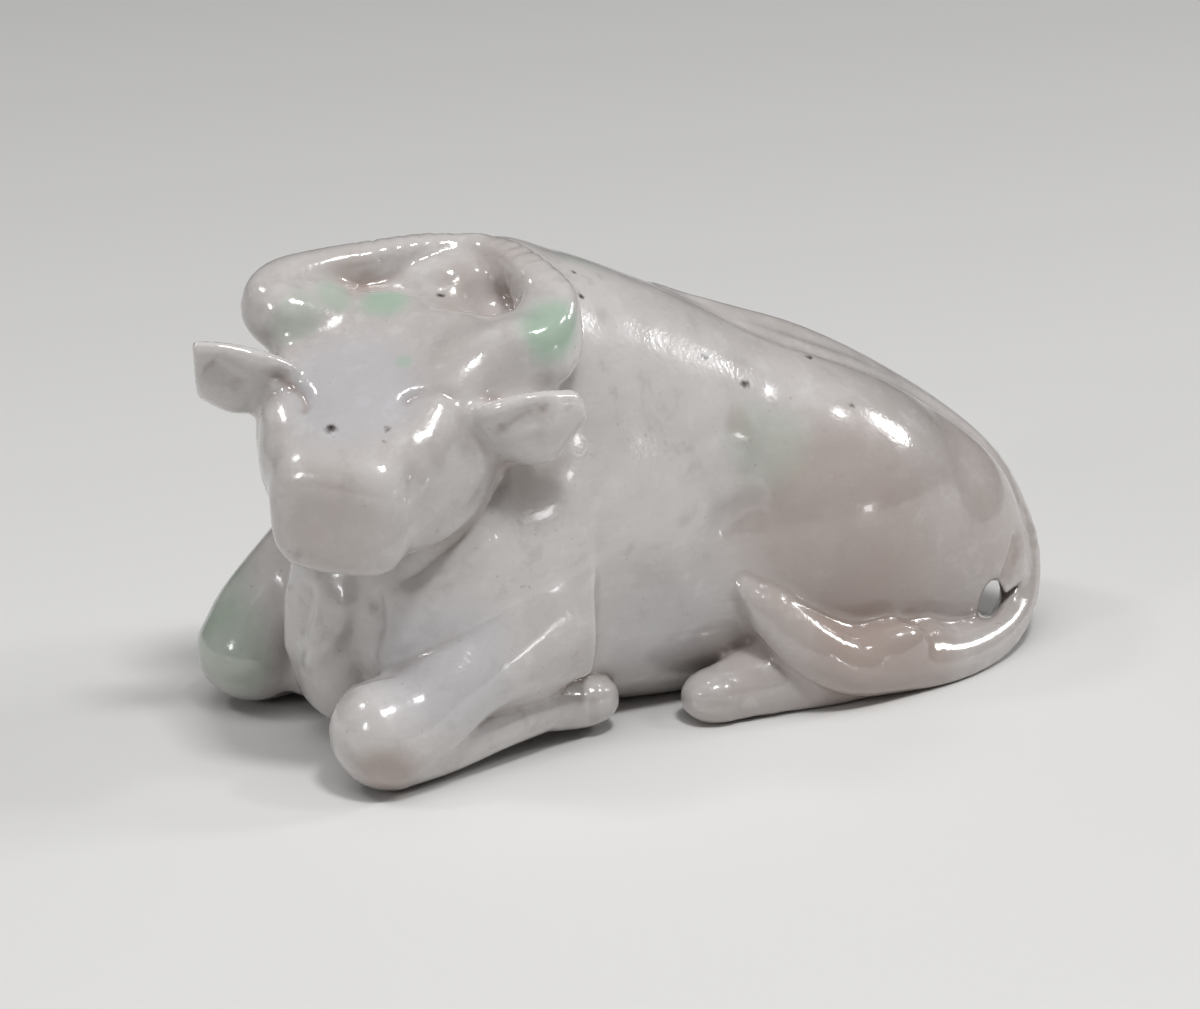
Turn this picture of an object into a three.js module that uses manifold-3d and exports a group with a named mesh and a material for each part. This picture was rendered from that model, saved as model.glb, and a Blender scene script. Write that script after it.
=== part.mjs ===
// A water buffalo at rest, carved from one piece of jade: the legs folded under it, the head turned to
// its left, the horns laid back in a ring over the neck and the tail brought round the left haunch.
// Lengths are millimetres. +X runs from head to tail, -Y is the animal's left side, +Z is up, and the
// figure rests on the plane Z = 0.
//
// The form is built the way a carver sees it, as rounded masses that flow into each other. Each mass
// gives its signed distance at a point, the masses are joined or cut with a soft edge, and the surface
// where the distance is zero is traced and thinned to flat facets.

import * as THREE from 'three';
import Module from 'manifold-3d';

const { abs, max, min, sqrt, pow } = Math;

// Sides of the animal, as the sign of Y
const LEFT = -1;
const RIGHT = 1;

// Tracing: grid spacing, block of space that holds the figure, and nodes along a side of each chunk
const GRID = 0.95;
const BLOCK_LOW = [-66, -31, -4];
const BLOCK_HIGH = [60, 28, 67];
const CHUNK = 4;
const CHUNK_SAFETY = 1.8;
const CULL = 6;
const CUT_SHARE = 0.06;
const GROUND_ROOM = 4;

// Thinning
const FACETS = 9000;
const LENGTH_COST = 1e-5;
const LEAST_TURN = 0.3;
const LEAST_FACE = 0.02;
const LEAST_SPREAD = 1e-4;

// Trunk: x, then the section's centre y and z, half width, height above and depth below the centre
const TRUNK = [
  [-44, 1, 22, 11, 14, 18],
  [-34, 0, 24, 17, 26, 24.5],
  [-22, 0, 28, 18.8, 32.8, 29],
  [-12, 0, 28, 18.2, 30.4, 28.8],
  [0, 0, 26, 18, 26.8, 28.2],
  [10, 0, 23.5, 18.6, 24.2, 25.8],
  [20, -0.5, 20.5, 19.6, 22.9, 23],
  [30, -1, 17, 19, 21.6, 19],
  [40, -1.5, 13, 17, 18.8, 14],
  [48, -2, 9.5, 13, 15.4, 8.8],
  [53, -3, 7, 7.5, 9.5, 6],
];
const TRUNK_POWER = 2.1;
const TRUNK_END = 4;
const TRUNK_EASE = 0.93;

// Masses of the hind quarters: centre, radii along, across and up, and tilt towards the tail in degrees
const HAUNCH = { at: [20, 9.4, 21], radii: [20, 13.5, 18], tilt: 18 };
const HIP = { at: [18, -9, 32.6], radii: [10, 8, 7.5], tilt: 26 };
const RUMP = { at: [38.5, -8, 16.5], radii: [9, 9, 9], tilt: 0 };
const FLANK_HOLLOW = { at: [1.2, 22.4, 26], radii: [6.2, 5.4, 17], tilt: 10 };
const RIB_HOLLOW = { at: [-11, 22.4, 11], radii: [9, 6.2, 13], tilt: 0 };

// Masses of the fore quarters, and the plane that ends shoulder and forearm at the back
const SHOULDER = { at: [-29, 9.6, 22.5], radii: [14.4, 10.8, 19], tilt: 10 };
const SHOULDER_POWER = 2.7;
const SHOULDER_EDGE = { at: [-18.7, 20, 18], normal: [1, 0.2, 0.05], round: 0.8 };
const CHEST = { at: [-40.2, 0.5, 15.3], radii: [8.6, 8, 13.2], tilt: 0 };
const CHEST_POWER = 2.8;
const CREST = { at: [-30, 1, 46.5], radii: [13, 12, 11.5], tilt: 0 };
const FORELEG_FILL = { at: [-37, 11.5, 5.5], radii: [9, 5, 5], tilt: 0 };
const EAR_FILL = { at: [-28.4, 14.6, 46.4], radii: [6.6, 6.8, 4.4], tilt: 0 };
const NECK_FILL = { at: [-38, 3, 50.6], radii: [9.5, 8, 7.6], tilt: 0 };
const NAPE_HOLLOW = { at: [-25.6, 7.8, 57.6], radii: [3.6, 3.2, 3.4], tilt: 0 };
const LEFT_HORN_ROOT = { at: [-30.6, 15, 50.4], radii: [6.2, 4.2, 4.2], tilt: 0 };
const RIGHT_HORN_ROOT = { at: [-43.8, 3, 56], radii: [4, 3.4, 2.8], tilt: 0 };

// Head: place of the brow between the eyes, and how it is turned, in degrees
const BROW = [-47.5, -13, 49];
const HEAD_YAW = 44;
const HEAD_PITCH = 30;
const HEAD_ROLL = 3;

// Feet and tail
const FORE_HOOF = { at: [-16.8, 12.9, 4.3], radii: [5.2, 3.8, 3.3], tilt: 0 };
const HOOF_POWER = 2.3;
const HIND_HOOF = { at: [1.6, 17.6, 3.2], radii: [5.8, 3.9, 3.5], tilt: 0 };
const HIND_FILL = { at: [11, 16.8, 4.8], radii: [8.5, 4.6, 4.4], tilt: 0 };
const TUFT_KNOB = { at: [23.8, -22.4, 7.4], radii: [3.6, 1.6, 2], tilt: 0 };

// Gap between tail and rump, carved right through: half width and half height
const GAP_WIDE = 1.4;
const GAP_HIGH = 2.5;

// Stone
const STONE = { color: 0xc9c2bd, roughness: 0.16, metalness: 0 };

// Vectors

function dot(a, b) {
  return a[0] * b[0] + a[1] * b[1] + a[2] * b[2];
}

function blendVectors(a, p, b, q) {
  return [a[0] * p + b[0] * q, a[1] * p + b[1] * q, a[2] * p + b[2] * q];
}

function minus(a, b) {
  return [a[0] - b[0], a[1] - b[1], a[2] - b[2]];
}

function size(v) {
  return sqrt(dot(v, v));
}

function unit(v) {
  return blendVectors(v, 1 / size(v), v, 0);
}

function cross(a, b) {
  return [a[1] * b[2] - a[2] * b[1], a[2] * b[0] - a[0] * b[2], a[0] * b[1] - a[1] * b[0]];
}

function mix(a, b, share) {
  return a * (1 - share) + b * share;
}

// Frames: an origin and three axes

function radians(degrees) {
  return (degrees * Math.PI) / 180;
}

// A frame facing -X, turned by yaw towards -Y, nose down by pitch, left side down by roll. Its axes
// point forward, to the animal's left and to the crown.
function turnedFrame(origin, yaw, pitch, roll) {
  const y = radians(yaw);
  const p = radians(pitch);
  const r = radians(roll);
  const level = [-Math.cos(y), -Math.sin(y), 0];
  const left = [Math.sin(y), -Math.cos(y), 0];
  const up = [0, 0, 1];
  const forward = blendVectors(level, Math.cos(p), up, -Math.sin(p));
  const crown = blendVectors(level, Math.sin(p), up, Math.cos(p));
  const side = blendVectors(left, Math.cos(r), crown, -Math.sin(r));
  return { origin, axes: [forward, side, blendVectors(left, Math.sin(r), crown, Math.cos(r))] };
}

// A frame along X, Y and Z whose X end dips by the tilt, in degrees
function tiltedFrame(origin, tilt = 0) {
  const t = radians(tilt);
  const axes = [[Math.cos(t), 0, -Math.sin(t)], [0, 1, 0], [Math.sin(t), 0, Math.cos(t)]];
  return { origin, axes };
}

function outOf(frame, p) {
  return [0, 1, 2].map((i) => {
    const [a, b, c] = frame.axes;
    return frame.origin[i] + a[i] * p[0] + b[i] * p[1] + c[i] * p[2];
  });
}

function within(frame, at) {
  return { origin: outOf(frame, at), axes: frame.axes };
}

const HEAD = turnedFrame(BROW, HEAD_YAW, HEAD_PITCH, HEAD_ROLL);

// Distance from offsets (a, b, c) to a round body of radii (p, q, r). A higher power is squarer.
function roundDistance(a, b, c, p, q, r, power) {
  const u = abs(a / p);
  const v = abs(b / q);
  const w = abs(c / r);
  const un = power === 2 ? u : pow(u, power - 1);
  const vn = power === 2 ? v : pow(v, power - 1);
  const wn = power === 2 ? w : pow(w, power - 1);
  const sum = max(u * un + v * vn + w * wn, 1e-9);
  const k = power === 2 ? sqrt(sum) : pow(sum, 1 / power);
  const slope = sqrt(max((un / p) ** 2 + (vn / q) ** 2 + (wn / r) ** 2, 1e-12));
  const scale = power === 2 ? max(k, 1e-4) : pow(max(k, 1e-4), power - 1);
  return ((k - 1) * scale) / slope;
}

// Masses: a centre, a reach beyond which the mass is ignored, and a signed distance

function ellipsoid(frame, radii, power = 2) {
  const [p, q, r] = radii;
  const [forward, side, crown] = frame.axes;
  const least = min(p, q, r);
  const distance = (x, y, z) => {
    const o = minus([x, y, z], frame.origin);
    const d = roundDistance(dot(o, forward), dot(o, side), dot(o, crown), p, q, r, power);
    return max(d, -least);
  };
  return { centre: frame.origin, reach: max(p, q, r) * (power > 2 ? 1.5 : 1), distance };
}

// A mass of the body, on the side of the animal that is given as the sign of its Y
function bodyMass({ at, radii, tilt }, side = 1, power = 2) {
  return ellipsoid(tiltedFrame([at[0], side * at[1], at[2]], tilt), radii, power);
}

function block(frame, half, rounding) {
  const distance = (x, y, z) => {
    const o = minus([x, y, z], frame.origin);
    const q = frame.axes.map((axis, i) => abs(dot(o, axis)) - half[i] + rounding);
    const outside = size(q.map((v) => max(v, 0)));
    return outside + min(max(q[0], q[1], q[2]), 0) - rounding;
  };
  return { centre: frame.origin, reach: size(half), distance };
}

// Smooth curve through rows of numbers, both ends included
function curveRows(rows, count) {
  const last = rows.length - 1;
  const row = (i) => {
    if (i < 0) return rows[0].map((v, k) => 2 * v - rows[1][k]);
    if (i > last) return rows[last].map((v, k) => 2 * v - rows[last - 1][k]);
    return rows[i];
  };
  const out = [];
  for (let n = 0; n < count; n += 1) {
    const t = (n * last) / (count - 1);
    const i = min(Math.floor(t), last - 1);
    const u = t - i;
    const [a, b, c, d] = [row(i - 1), row(i), row(i + 1), row(i + 2)];
    out.push(b.map((_, k) => {
      const bend = 2 * a[k] - 5 * b[k] + 4 * c[k] - d[k];
      const twist = 3 * b[k] - a[k] - 3 * c[k] + d[k];
      return 0.5 * (2 * b[k] + (c[k] - a[k]) * u + bend * u ** 2 + twist * u ** 3);
    }));
  }
  return out;
}

// A limb along a curve. Each row is x, y, z, radius across and radius along up.
function limb(points, count, { up = [0, 0, 1], power = 2, end = 0.9, frame = null } = {}) {
  const rows = curveRows(points, count);
  const at = rows.map((row) => (frame ? outOf(frame, row) : row.slice(0, 3)));
  const wide = rows.map((row) => max(row[3], 0.2));
  const high = rows.map((row) => max(row[4], 0.2));
  const sections = at.map((_, i) => {
    const along = unit(minus(at[min(i + 1, count - 1)], at[max(i - 1, 0)]));
    const side = unit(cross(along, up));
    return [side, cross(side, along), along];
  });
  const toSegment = (i, p) => {
    const v = minus(at[i + 1], at[i]);
    const o = minus(p, at[i]);
    const u = min(max(dot(o, v) / dot(v, v), 0), 1);
    const q = blendVectors(o, 1, v, -u);
    const w = mix(wide[i], wide[i + 1], u);
    const h = mix(high[i], high[i + 1], u);
    if (dot(q, q) > (max(w, h) + CULL) ** 2) return Infinity;
    const [a, b, c] = [0, 1, 2].map((k) => mix(dot(q, sections[i][k]), dot(q, sections[i + 1][k]), u));
    return max(roundDistance(a, b, c, w, h, min(w, h) * end, power), -min(w, h));
  };
  const distance = (x, y, z) => {
    let best = 1e3;
    for (let i = 0; i < count - 1; i += 1) best = min(best, toSegment(i, [x, y, z]));
    return best;
  };
  const box = new THREE.Box3().setFromPoints(at.map((p) => new THREE.Vector3(...p)));
  const centre = box.getCenter(new THREE.Vector3()).toArray();
  const spread = max(...at.map((p) => size(minus(p, centre))));
  return { centre, reach: spread + 1.2 * max(...wide, ...high), distance };
}

// A mass cut off by a plane with a soft edge: what lies on the normal's side goes
function cutOff(mass, point, normal, soft) {
  const n = unit(normal);
  const level = dot(n, point);
  const distance = (x, y, z) => softMax(mass.distance(x, y, z), dot(n, [x, y, z]) - level, soft);
  return { ...mass, distance };
}

// The trunk: a section that changes along X, smooth through the stations
function trunk() {
  const stations = TRUNK.map((row) => row[0]);
  const slope = (k, i) => {
    const a = max(i - 1, 0);
    const b = min(i + 1, TRUNK.length - 1);
    return (TRUNK[b][k] - TRUNK[a][k]) / (TRUNK[b][0] - TRUNK[a][0]);
  };
  const value = (k, i, u, step) => {
    const s = TRUNK[i][k];
    const e = TRUNK[i + 1][k];
    const m = slope(k, i) * step;
    const n = slope(k, i + 1) * step;
    return s + u * (m + u * (3 * (e - s) - 2 * m - n + u * (2 * (s - e) + m + n)));
  };
  const first = stations[0];
  const last = stations[stations.length - 1];
  const distance = (x, y, z) => {
    const inside = min(max(x, first), last - 1e-6);
    const i = stations.findLastIndex((s) => s <= inside);
    const step = stations[i + 1] - stations[i];
    const u = (inside - stations[i]) / step;
    const [cy, cz, wide, above, below] = [1, 2, 3, 4, 5].map((k) => value(k, i, u, step));
    const high = z > cz ? above : below;
    const d = max(roundDistance(y - cy, z - cz, 0, wide, high, 1, TRUNK_POWER), -min(wide, high));
    return softMax(d * TRUNK_EASE, max(first - x, x - last), TRUNK_END);
  };
  return { centre: [(first + last) / 2, 0, TRUNK[2][2]], reach: last - first, distance };
}

// Joining and cutting with a soft edge of width k

function softMin(a, b, k) {
  if (k <= 0) return min(a, b);
  const h = min(max(0.5 + (0.5 * (b - a)) / k, 0), 1);
  return mix(b, a, h) - k * h * (1 - h);
}

function softMax(a, b, k) {
  return -softMin(-a, -b, k);
}

const add = (mass, soft = 0) => ({ mass, soft, cuts: false });
const cut = (mass, soft = 0) => ({ mass, soft, cuts: true });

function distanceAt(steps, x, y, z) {
  let d = 1e3;
  for (const { mass, soft, cuts } of steps) {
    const far = mass.reach + soft + CULL;
    const o = minus([x, y, z], mass.centre);
    if (dot(o, o) < far * far) {
      const e = mass.distance(x, y, z);
      d = cuts ? softMax(d, -e, soft) : softMin(d, e, soft);
    }
  }
  return d;
}

// Several steps as one mass
function group(steps) {
  const centre = [0, 1, 2].map((i) => {
    const values = steps.map(({ mass }) => mass.centre[i]);
    return (min(...values) + max(...values)) / 2;
  });
  const reach = max(...steps.map(({ mass }) => size(minus(mass.centre, centre)) + mass.reach));
  return { centre, reach, distance: (x, y, z) => distanceAt(steps, x, y, z) };
}

// Fore quarters

function endAtShoulder(mass, side) {
  const { at: [x, y, z], normal: [a, b, c], round } = SHOULDER_EDGE;
  return cutOff(mass, [x, side * y, z], [a, side * b, c], round);
}

function shoulder(side) {
  return endAtShoulder(bodyMass(SHOULDER, side, SHOULDER_POWER), side);
}

function leftForearm() {
  return endAtShoulder(limb([
    [-46.4, -16.6, 7.2, 6.9, 7],
    [-41.5, -17.2, 9, 6.2, 6],
    [-36, -17.4, 12.6, 6, 5.6],
    [-29, -17, 15.2, 5.6, 6.4],
    [-22, -16.4, 16.6, 5.2, 7.4],
    [-15, -16, 17, 5, 7.6],
  ], 36), LEFT);
}

function rightForearm() {
  return limb([
    [-47.8, 16.3, 7, 6.8, 6.8],
    [-45.2, 16.6, 11.5, 6.2, 6.4],
    [-38, 15.5, 17, 7, 8],
    [-31, 13, 23, 8, 9],
  ], 36);
}

function lowerForeleg(side, kneeX, kneeY) {
  const cannon = limb([
    [kneeX, side * kneeY, 4.6, 4.5, 4.5],
    [-38, side * 16.6, 4.4, 3.9, 3.9],
    [-30, side * 15.6, 5.2, 3.6, 3.6],
    [-22, side * 14, 5.4, 3.4, 3.4],
  ], 24);
  return group([add(cannon), add(bodyMass(FORE_HOOF, side, HOOF_POWER), 2.4)]);
}

function neck() {
  return limb([[-40, -5, 44, 10, 10], [-32, -2, 43, 12, 12.5], [-20, 0, 38, 14, 16]], 16);
}

function nape() {
  const points = [[-38, -1.5, 50.5, 6.4, 7], [-31, -1, 53.8, 4.6, 6], [-24.5, -0.5, 56, 3.2, 5]];
  return limb(points, 14);
}

// Head

function trenchBehindPoll() {
  const points = [[-20, -8.5, 0.5, 2.4, 2.6], [-20.6, 0, 1.2, 2.4, 2.6], [-19.4, 8.5, 0.5, 2.4, 2.6]];
  return limb(points, 14, { frame: HEAD });
}

// The flat front of the muzzle ends both the muzzle and the bridge of the nose
function endAtMuzzle(mass) {
  const [forward, , crown] = HEAD.axes;
  return cutOff(mass, outOf(HEAD, [12.3, 0, -3]), blendVectors(forward, 0.9, crown, 0.39), 3.2);
}

function head() {
  const part = (at, radii, power) => ellipsoid(within(HEAD, at), radii, power);
  return group([
    add(part([-6, 0.9, -11.4], [13.2, 15.2, 10.8], 2.8)),
    add(block(within(HEAD, [-8.8, 0.2, -6]), [8.8, 12.6, 6.2], 3.4), 2),
    add(part([-0.5, 1.5, -11.2], [11.8, 12.9, 7.6], 2.6), 2),
    add(endAtMuzzle(part([4.6, 0.4, -8], [13.6, 9, 7.3], 3)), 3),
    add(endAtMuzzle(part([8.5, 0.3, -7.2], [12, 7.9, 6.6], 4)), 1.4),
    add(part([1.2, 0.3, -6.8], [9.4, 11.8, 5.8], 2.8), 2.5),
    add(part([0.2, 9.3, -3.4], [3.8, 2.8, 2]), 2),
    add(part([0.2, -8.7, -3.2], [3.8, 2.6, 2]), 2),
    add(part([-5, 12.2, -3.6], [3.2, 2.4, 2.6]), 2),
  ]);
}

function leftHorn() {
  return limb([
    [-31.2, -12.4, 50.4, 4.2, 4.2],
    [-27, -15, 52.2, 4.7, 4.7],
    [-24.2, -16.2, 52.8, 4.6, 4.6],
    [-21.4, -14, 56.2, 3.6, 3.6],
    [-21.4, -9.4, 58.9, 2.7, 2.7],
    [-21.8, -4.4, 60.2, 2.1, 2.1],
    [-23, -0.4, 60.9, 1.3, 1.3],
  ], 34, { power: 2.8 });
}

function rightHorn() {
  return limb([
    [-44.6, 2.2, 53.4, 4.6, 4.6],
    [-47.5, 3.6, 54.7, 4.6, 4.6],
    [-48.7, 5.3, 56.2, 4, 4],
    [-46.5, 6.4, 57.9, 3.3, 3.3],
    [-41.8, 5.8, 59.1, 2.7, 2.7],
    [-36.7, 4.4, 59.9, 2.4, 2.4],
    [-29.7, 3, 60.6, 2, 2],
    [-24.5, 1.2, 61, 1.3, 1.3],
  ], 34, { power: 2.3 });
}

function leftEar() {
  return limb([
    [-32.8, -15.6, 43, 4.2, 1.8],
    [-31, -20.8, 44.2, 6.3, 2.4],
    [-28.4, -24, 45.8, 5.8, 2.4],
    [-24.4, -25, 47.6, 3, 1.6],
  ], 20, { up: [0.3, 0.9, 0.5] });
}

function rightEar() {
  const ear = limb([
    [-52, -2.2, 48.2, 5, 2],
    [-55.8, -1.6, 49.3, 6.3, 2.2],
    [-59.2, -0.4, 50.8, 5.8, 1.9],
    [-63.2, 1, 52.2, 4.6, 1.3],
  ], 16, { up: [0.6, 0.6, 0.5] });
  return cutOff(ear, [-62, 0.5, 52], [-0.87, 0.5, 0], 0.8);
}

// Hind quarters

function hindFoot(side) {
  const shank = limb([
    [30, side * 17, 4, 5, 4],
    [18, side * 18.6, 3.2, 4.2, 4.6],
    [8, side * 18.1, 3.2, 3.7, 3.8],
  ], 12);
  const hoof = bodyMass(HIND_HOOF, side, HOOF_POWER);
  return group([add(shank), add(bodyMass(HIND_FILL, side), 2), add(hoof, 3)]);
}

// A raised band down the spine that rounds the rump and ends in a tuft on the left haunch
function tail() {
  return limb([
    [2, 0.4, 50.6, 0.9, 0.9],
    [12, 0.2, 46, 1.6, 1.6],
    [22, -0.2, 41.2, 2.6, 2.2],
    [33, -1, 34.1, 3.4, 2.6],
    [42, -2.2, 27.3, 3.7, 2.8],
    [49.2, -4.6, 20, 3.4, 2.7],
    [51.4, -8.5, 11.8, 2.7, 2.6],
    [49.6, -12, 5.9, 2.6, 2.6],
    [43.6, -16, 2.8, 3, 3],
    [34.9, -19.5, 2.2, 3.2, 3.4],
    [25.2, -21.5, 3.8, 3.2, 3.6],
    [17, -22.4, 5.6, 3, 3.8],
    [10.8, -21.8, 9.4, 2.6, 3.6],
    [6.4, -19.6, 14, 1.8, 2.4],
    [3.9, -17.8, 17.2, 0.6, 0.8],
  ], 56, { up: [0, 0.3, 1] });
}

// Stone between the tail and the haunch that it lies against
function tailBed() {
  return limb([
    [37, -14.6, 2.8, 3.4, 3.4],
    [26, -17.6, 4.6, 4.2, 4.2],
    [14, -18, 8, 4.6, 4.6],
    [8, -17.6, 13.5, 3.6, 3.6],
  ], 16);
}

function hollowByTail() {
  return limb([
    [48, -12.2, 13.4, 0.6, 0.6],
    [47, -12.6, 10, 1.5, 1.5],
    [45, -13.5, 6.6, 2.2, 2.2],
    [40, -17.5, 5, 0.8, 0.8],
  ], 16);
}

function gapByTail() {
  return limb([
    [33.5, -31.7, 14.1, GAP_WIDE, GAP_HIGH],
    [44.3, -13, 6.3, GAP_WIDE, GAP_HIGH],
    [56.5, 6, -1, GAP_WIDE + 0.5, GAP_HIGH + 0.7],
  ], 6, { up: [0.3, 0, 1] });
}

function wholeForm() {
  return [
    add(trunk()),
    add(bodyMass(HAUNCH, LEFT), 2.5),
    add(bodyMass(HAUNCH, RIGHT), 2.5),
    add(bodyMass(HIP), 4),
    add(bodyMass(RUMP), 4),
    add(bodyMass(CHEST, RIGHT, CHEST_POWER), 2.5),
    add(neck(), 5),
    add(bodyMass(CREST), 3),
    add(nape(), 2),
    add(bodyMass(NECK_FILL), 2),
    cut(bodyMass(NAPE_HOLLOW, LEFT), 1.6),
    cut(bodyMass(FLANK_HOLLOW, LEFT), 3.5),
    cut(bodyMass(FLANK_HOLLOW, RIGHT), 3.5),
    cut(bodyMass(RIB_HOLLOW, LEFT), 3.5),
    cut(bodyMass(RIB_HOLLOW, RIGHT), 3.5),
    add(shoulder(LEFT), 1.6),
    add(shoulder(RIGHT), 1.6),
    add(leftForearm(), 2.4),
    add(rightForearm(), 2),
    add(lowerForeleg(LEFT, -45, 17.2), 0.5),
    add(lowerForeleg(RIGHT, -46, 16.8), 0.5),
    add(bodyMass(FORELEG_FILL), 1.5),
    add(hindFoot(LEFT), 1),
    add(hindFoot(RIGHT), 1),
    cut(trenchBehindPoll(), 2),
    add(bodyMass(EAR_FILL, LEFT), 1.5),
    add(head(), 0.8),
    add(bodyMass(LEFT_HORN_ROOT, LEFT), 3),
    add(bodyMass(RIGHT_HORN_ROOT), 2),
    add(rightHorn(), 2),
    add(leftHorn(), 2),
    add(rightEar(), 1.4),
    add(leftEar(), 1.4),
    cut(hollowByTail(), 1),
    add(tailBed(), 1.5),
    add(tail(), 1.5),
    add(bodyMass(TUFT_KNOB), 3),
    cut(gapByTail(), 0.8),
  ];
}

// Tracing: each grid cell is split into six tetrahedra around its long diagonal, so the surface
// closes on itself, with one vertex on each edge that the surface crosses

const CORNERS = [0, 1, 2, 3, 4, 5, 6, 7].map((c) => [c & 1, (c >> 1) & 1, (c >> 2) & 1]);
const SPLITS = [[1, 3], [3, 2], [2, 6], [6, 4], [4, 5], [5, 1]].map(([a, b]) => [0, a, b, 7]);

// The grid's nodes and the form's distance at each. Chunks far from the surface get one value.
function sampleForm(steps) {
  const counts = [0, 1, 2].map((i) => Math.ceil((BLOCK_HIGH[i] - BLOCK_LOW[i]) / GRID) + 1);
  const index = (i, j, k) => (i * counts[1] + j) * counts[2] + k;
  const at = (i, j, k) => [i, j, k].map((n, axis) => BLOCK_LOW[axis] + n * GRID);
  const place = (node) => {
    const row = Math.floor(node / counts[2]);
    return at(Math.floor(row / counts[1]), row % counts[1], node % counts[2]);
  };
  const field = new Float64Array(counts[0] * counts[1] * counts[2]);
  const half = (CHUNK - 1) / 2;
  const safe = half * GRID * sqrt(3) * CHUNK_SAFETY;
  const fill = (i0, j0, k0) => {
    const middle = distanceAt(steps, ...at(i0 + half, j0 + half, k0 + half));
    const far = abs(middle) > safe;
    for (let i = i0; i < min(i0 + CHUNK, counts[0]); i += 1) {
      for (let j = j0; j < min(j0 + CHUNK, counts[1]); j += 1) {
        for (let k = k0; k < min(k0 + CHUNK, counts[2]); k += 1) {
          field[index(i, j, k)] = far ? middle : distanceAt(steps, ...at(i, j, k));
        }
      }
    }
  };
  for (let i = 0; i < counts[0]; i += CHUNK) {
    for (let j = 0; j < counts[1]; j += CHUNK) {
      for (let k = 0; k < counts[2]; k += CHUNK) fill(i, j, k);
    }
  }
  return { counts, index, place, field };
}

function traceSurface({ counts, index, place, field }) {
  const vertices = [];
  const triangles = [];
  const made = new Map();
  const crossing = (a, b) => {
    const key = min(a, b) * field.length + max(a, b);
    if (!made.has(key)) {
      const share = min(max(field[a] / (field[a] - field[b]), CUT_SHARE), 1 - CUT_SHARE);
      made.set(key, vertices.length);
      vertices.push(blendVectors(place(a), 1 - share, place(b), share));
    }
    return made.get(key);
  };
  const face = (p, q, r, insideNode) => {
    const a = vertices[p];
    const normal = cross(minus(vertices[q], a), minus(vertices[r], a));
    const inward = dot(normal, minus(place(insideNode), a)) > 0;
    triangles.push(inward ? [p, r, q] : [p, q, r]);
  };
  const splitCell = (nodes) => {
    const inside = nodes.filter((node) => field[node] < 0);
    const outside = nodes.filter((node) => field[node] >= 0);
    if (inside.length === 1) {
      face(...outside.map((node) => crossing(inside[0], node)), inside[0]);
    } else if (inside.length === 3) {
      face(...inside.map((node) => crossing(node, outside[0])), inside[0]);
    } else if (inside.length === 2) {
      const [a, b] = inside;
      const [c, d] = outside;
      face(crossing(a, c), crossing(a, d), crossing(b, d), a);
      face(crossing(a, c), crossing(b, d), crossing(b, c), a);
    }
  };
  for (let i = 0; i < counts[0] - 1; i += 1) {
    for (let j = 0; j < counts[1] - 1; j += 1) {
      for (let k = 0; k < counts[2] - 1; k += 1) {
        const cell = CORNERS.map(([a, b, c]) => index(i + a, j + b, k + c));
        const solid = cell.filter((node) => field[node] < 0).length;
        if (solid > 0 && solid < cell.length) {
          SPLITS.forEach((split) => splitCell(split.map((c) => cell[c])));
        }
      }
    }
  }
  return { vertices, triangles };
}

// Flat underside: everything below Z = 0 is cut away

function inThrees(values) {
  const out = [];
  for (let i = 0; i < values.length; i += 3) out.push(Array.from(values.slice(i, i + 3)));
  return out;
}

// Vertices and triangles of a box geometry, with the vertices at each corner merged
function boxSurface(box) {
  const corners = [];
  const known = new Map();
  const points = inThrees(box.attributes.position.array);
  const index = Array.from(box.index.array, (i) => {
    const key = points[i].join();
    if (!known.has(key)) known.set(key, corners.push(points[i]) - 1);
    return known.get(key);
  });
  return { vertices: corners, triangles: inThrees(index) };
}

async function cutFlatBelow(surface) {
  const wasm = await Module();
  wasm.setup();
  const solid = ({ vertices, triangles }) => new wasm.Manifold(new wasm.Mesh({
    numProp: 3,
    vertProperties: new Float32Array(vertices.flat()),
    triVerts: new Uint32Array(triangles.flat()),
  }));
  const sides = BLOCK_LOW.map((low, i) => BLOCK_HIGH[i] - low + GROUND_ROOM);
  const centre = BLOCK_LOW.map((low, i) => (BLOCK_HIGH[i] + low) / 2);
  const box = new THREE.BoxGeometry(...sides);
  box.translate(centre[0], centre[1], -sides[2] / 2);
  const mesh = solid(surface).subtract(solid(boxSurface(box))).getMesh();
  return { vertices: inThrees(mesh.vertProperties), triangles: inThrees(mesh.triVerts) };
}

// Thinning: the edge whose loss changes the surface least goes first, until the facets are few enough

class Heap {
  constructor() {
    this.items = [];
  }

  push(item) {
    const a = this.items;
    a.push(item);
    let i = a.length - 1;
    while (i > 0) {
      const up = (i - 1) >> 1;
      if (a[up].cost <= a[i].cost) break;
      [a[up], a[i]] = [a[i], a[up]];
      i = up;
    }
  }

  pop() {
    const a = this.items;
    const top = a[0];
    const last = a.pop();
    if (a.length > 0) {
      a[0] = last;
      this.sink(0);
    }
    return top;
  }

  sink(start) {
    const a = this.items;
    let i = start;
    let least = start;
    do {
      [a[least], a[i]] = [a[i], a[least]];
      i = least;
      for (const child of [2 * i + 1, 2 * i + 2]) {
        if (child < a.length && a[child].cost < a[least].cost) least = child;
      }
    } while (least !== i);
  }
}

function facePlane(vertices, [p, q, r]) {
  const a = vertices[p];
  const normal = cross(minus(vertices[q], a), minus(vertices[r], a));
  const length = size(normal);
  const n = length > 0 ? blendVectors(normal, 1 / length, normal, 0) : [0, 0, 0];
  return { n, area: length / 2, d: -dot(n, a) };
}

// Sum of squared distances to a plane, as the ten different entries of a symmetric matrix
function planeQuadric({ n: [a, b, c], d, area }) {
  const entries = [a * a, a * b, a * c, a * d, b * b, b * c, b * d, c * c, c * d, d * d];
  return entries.map((v) => v * area);
}

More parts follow.
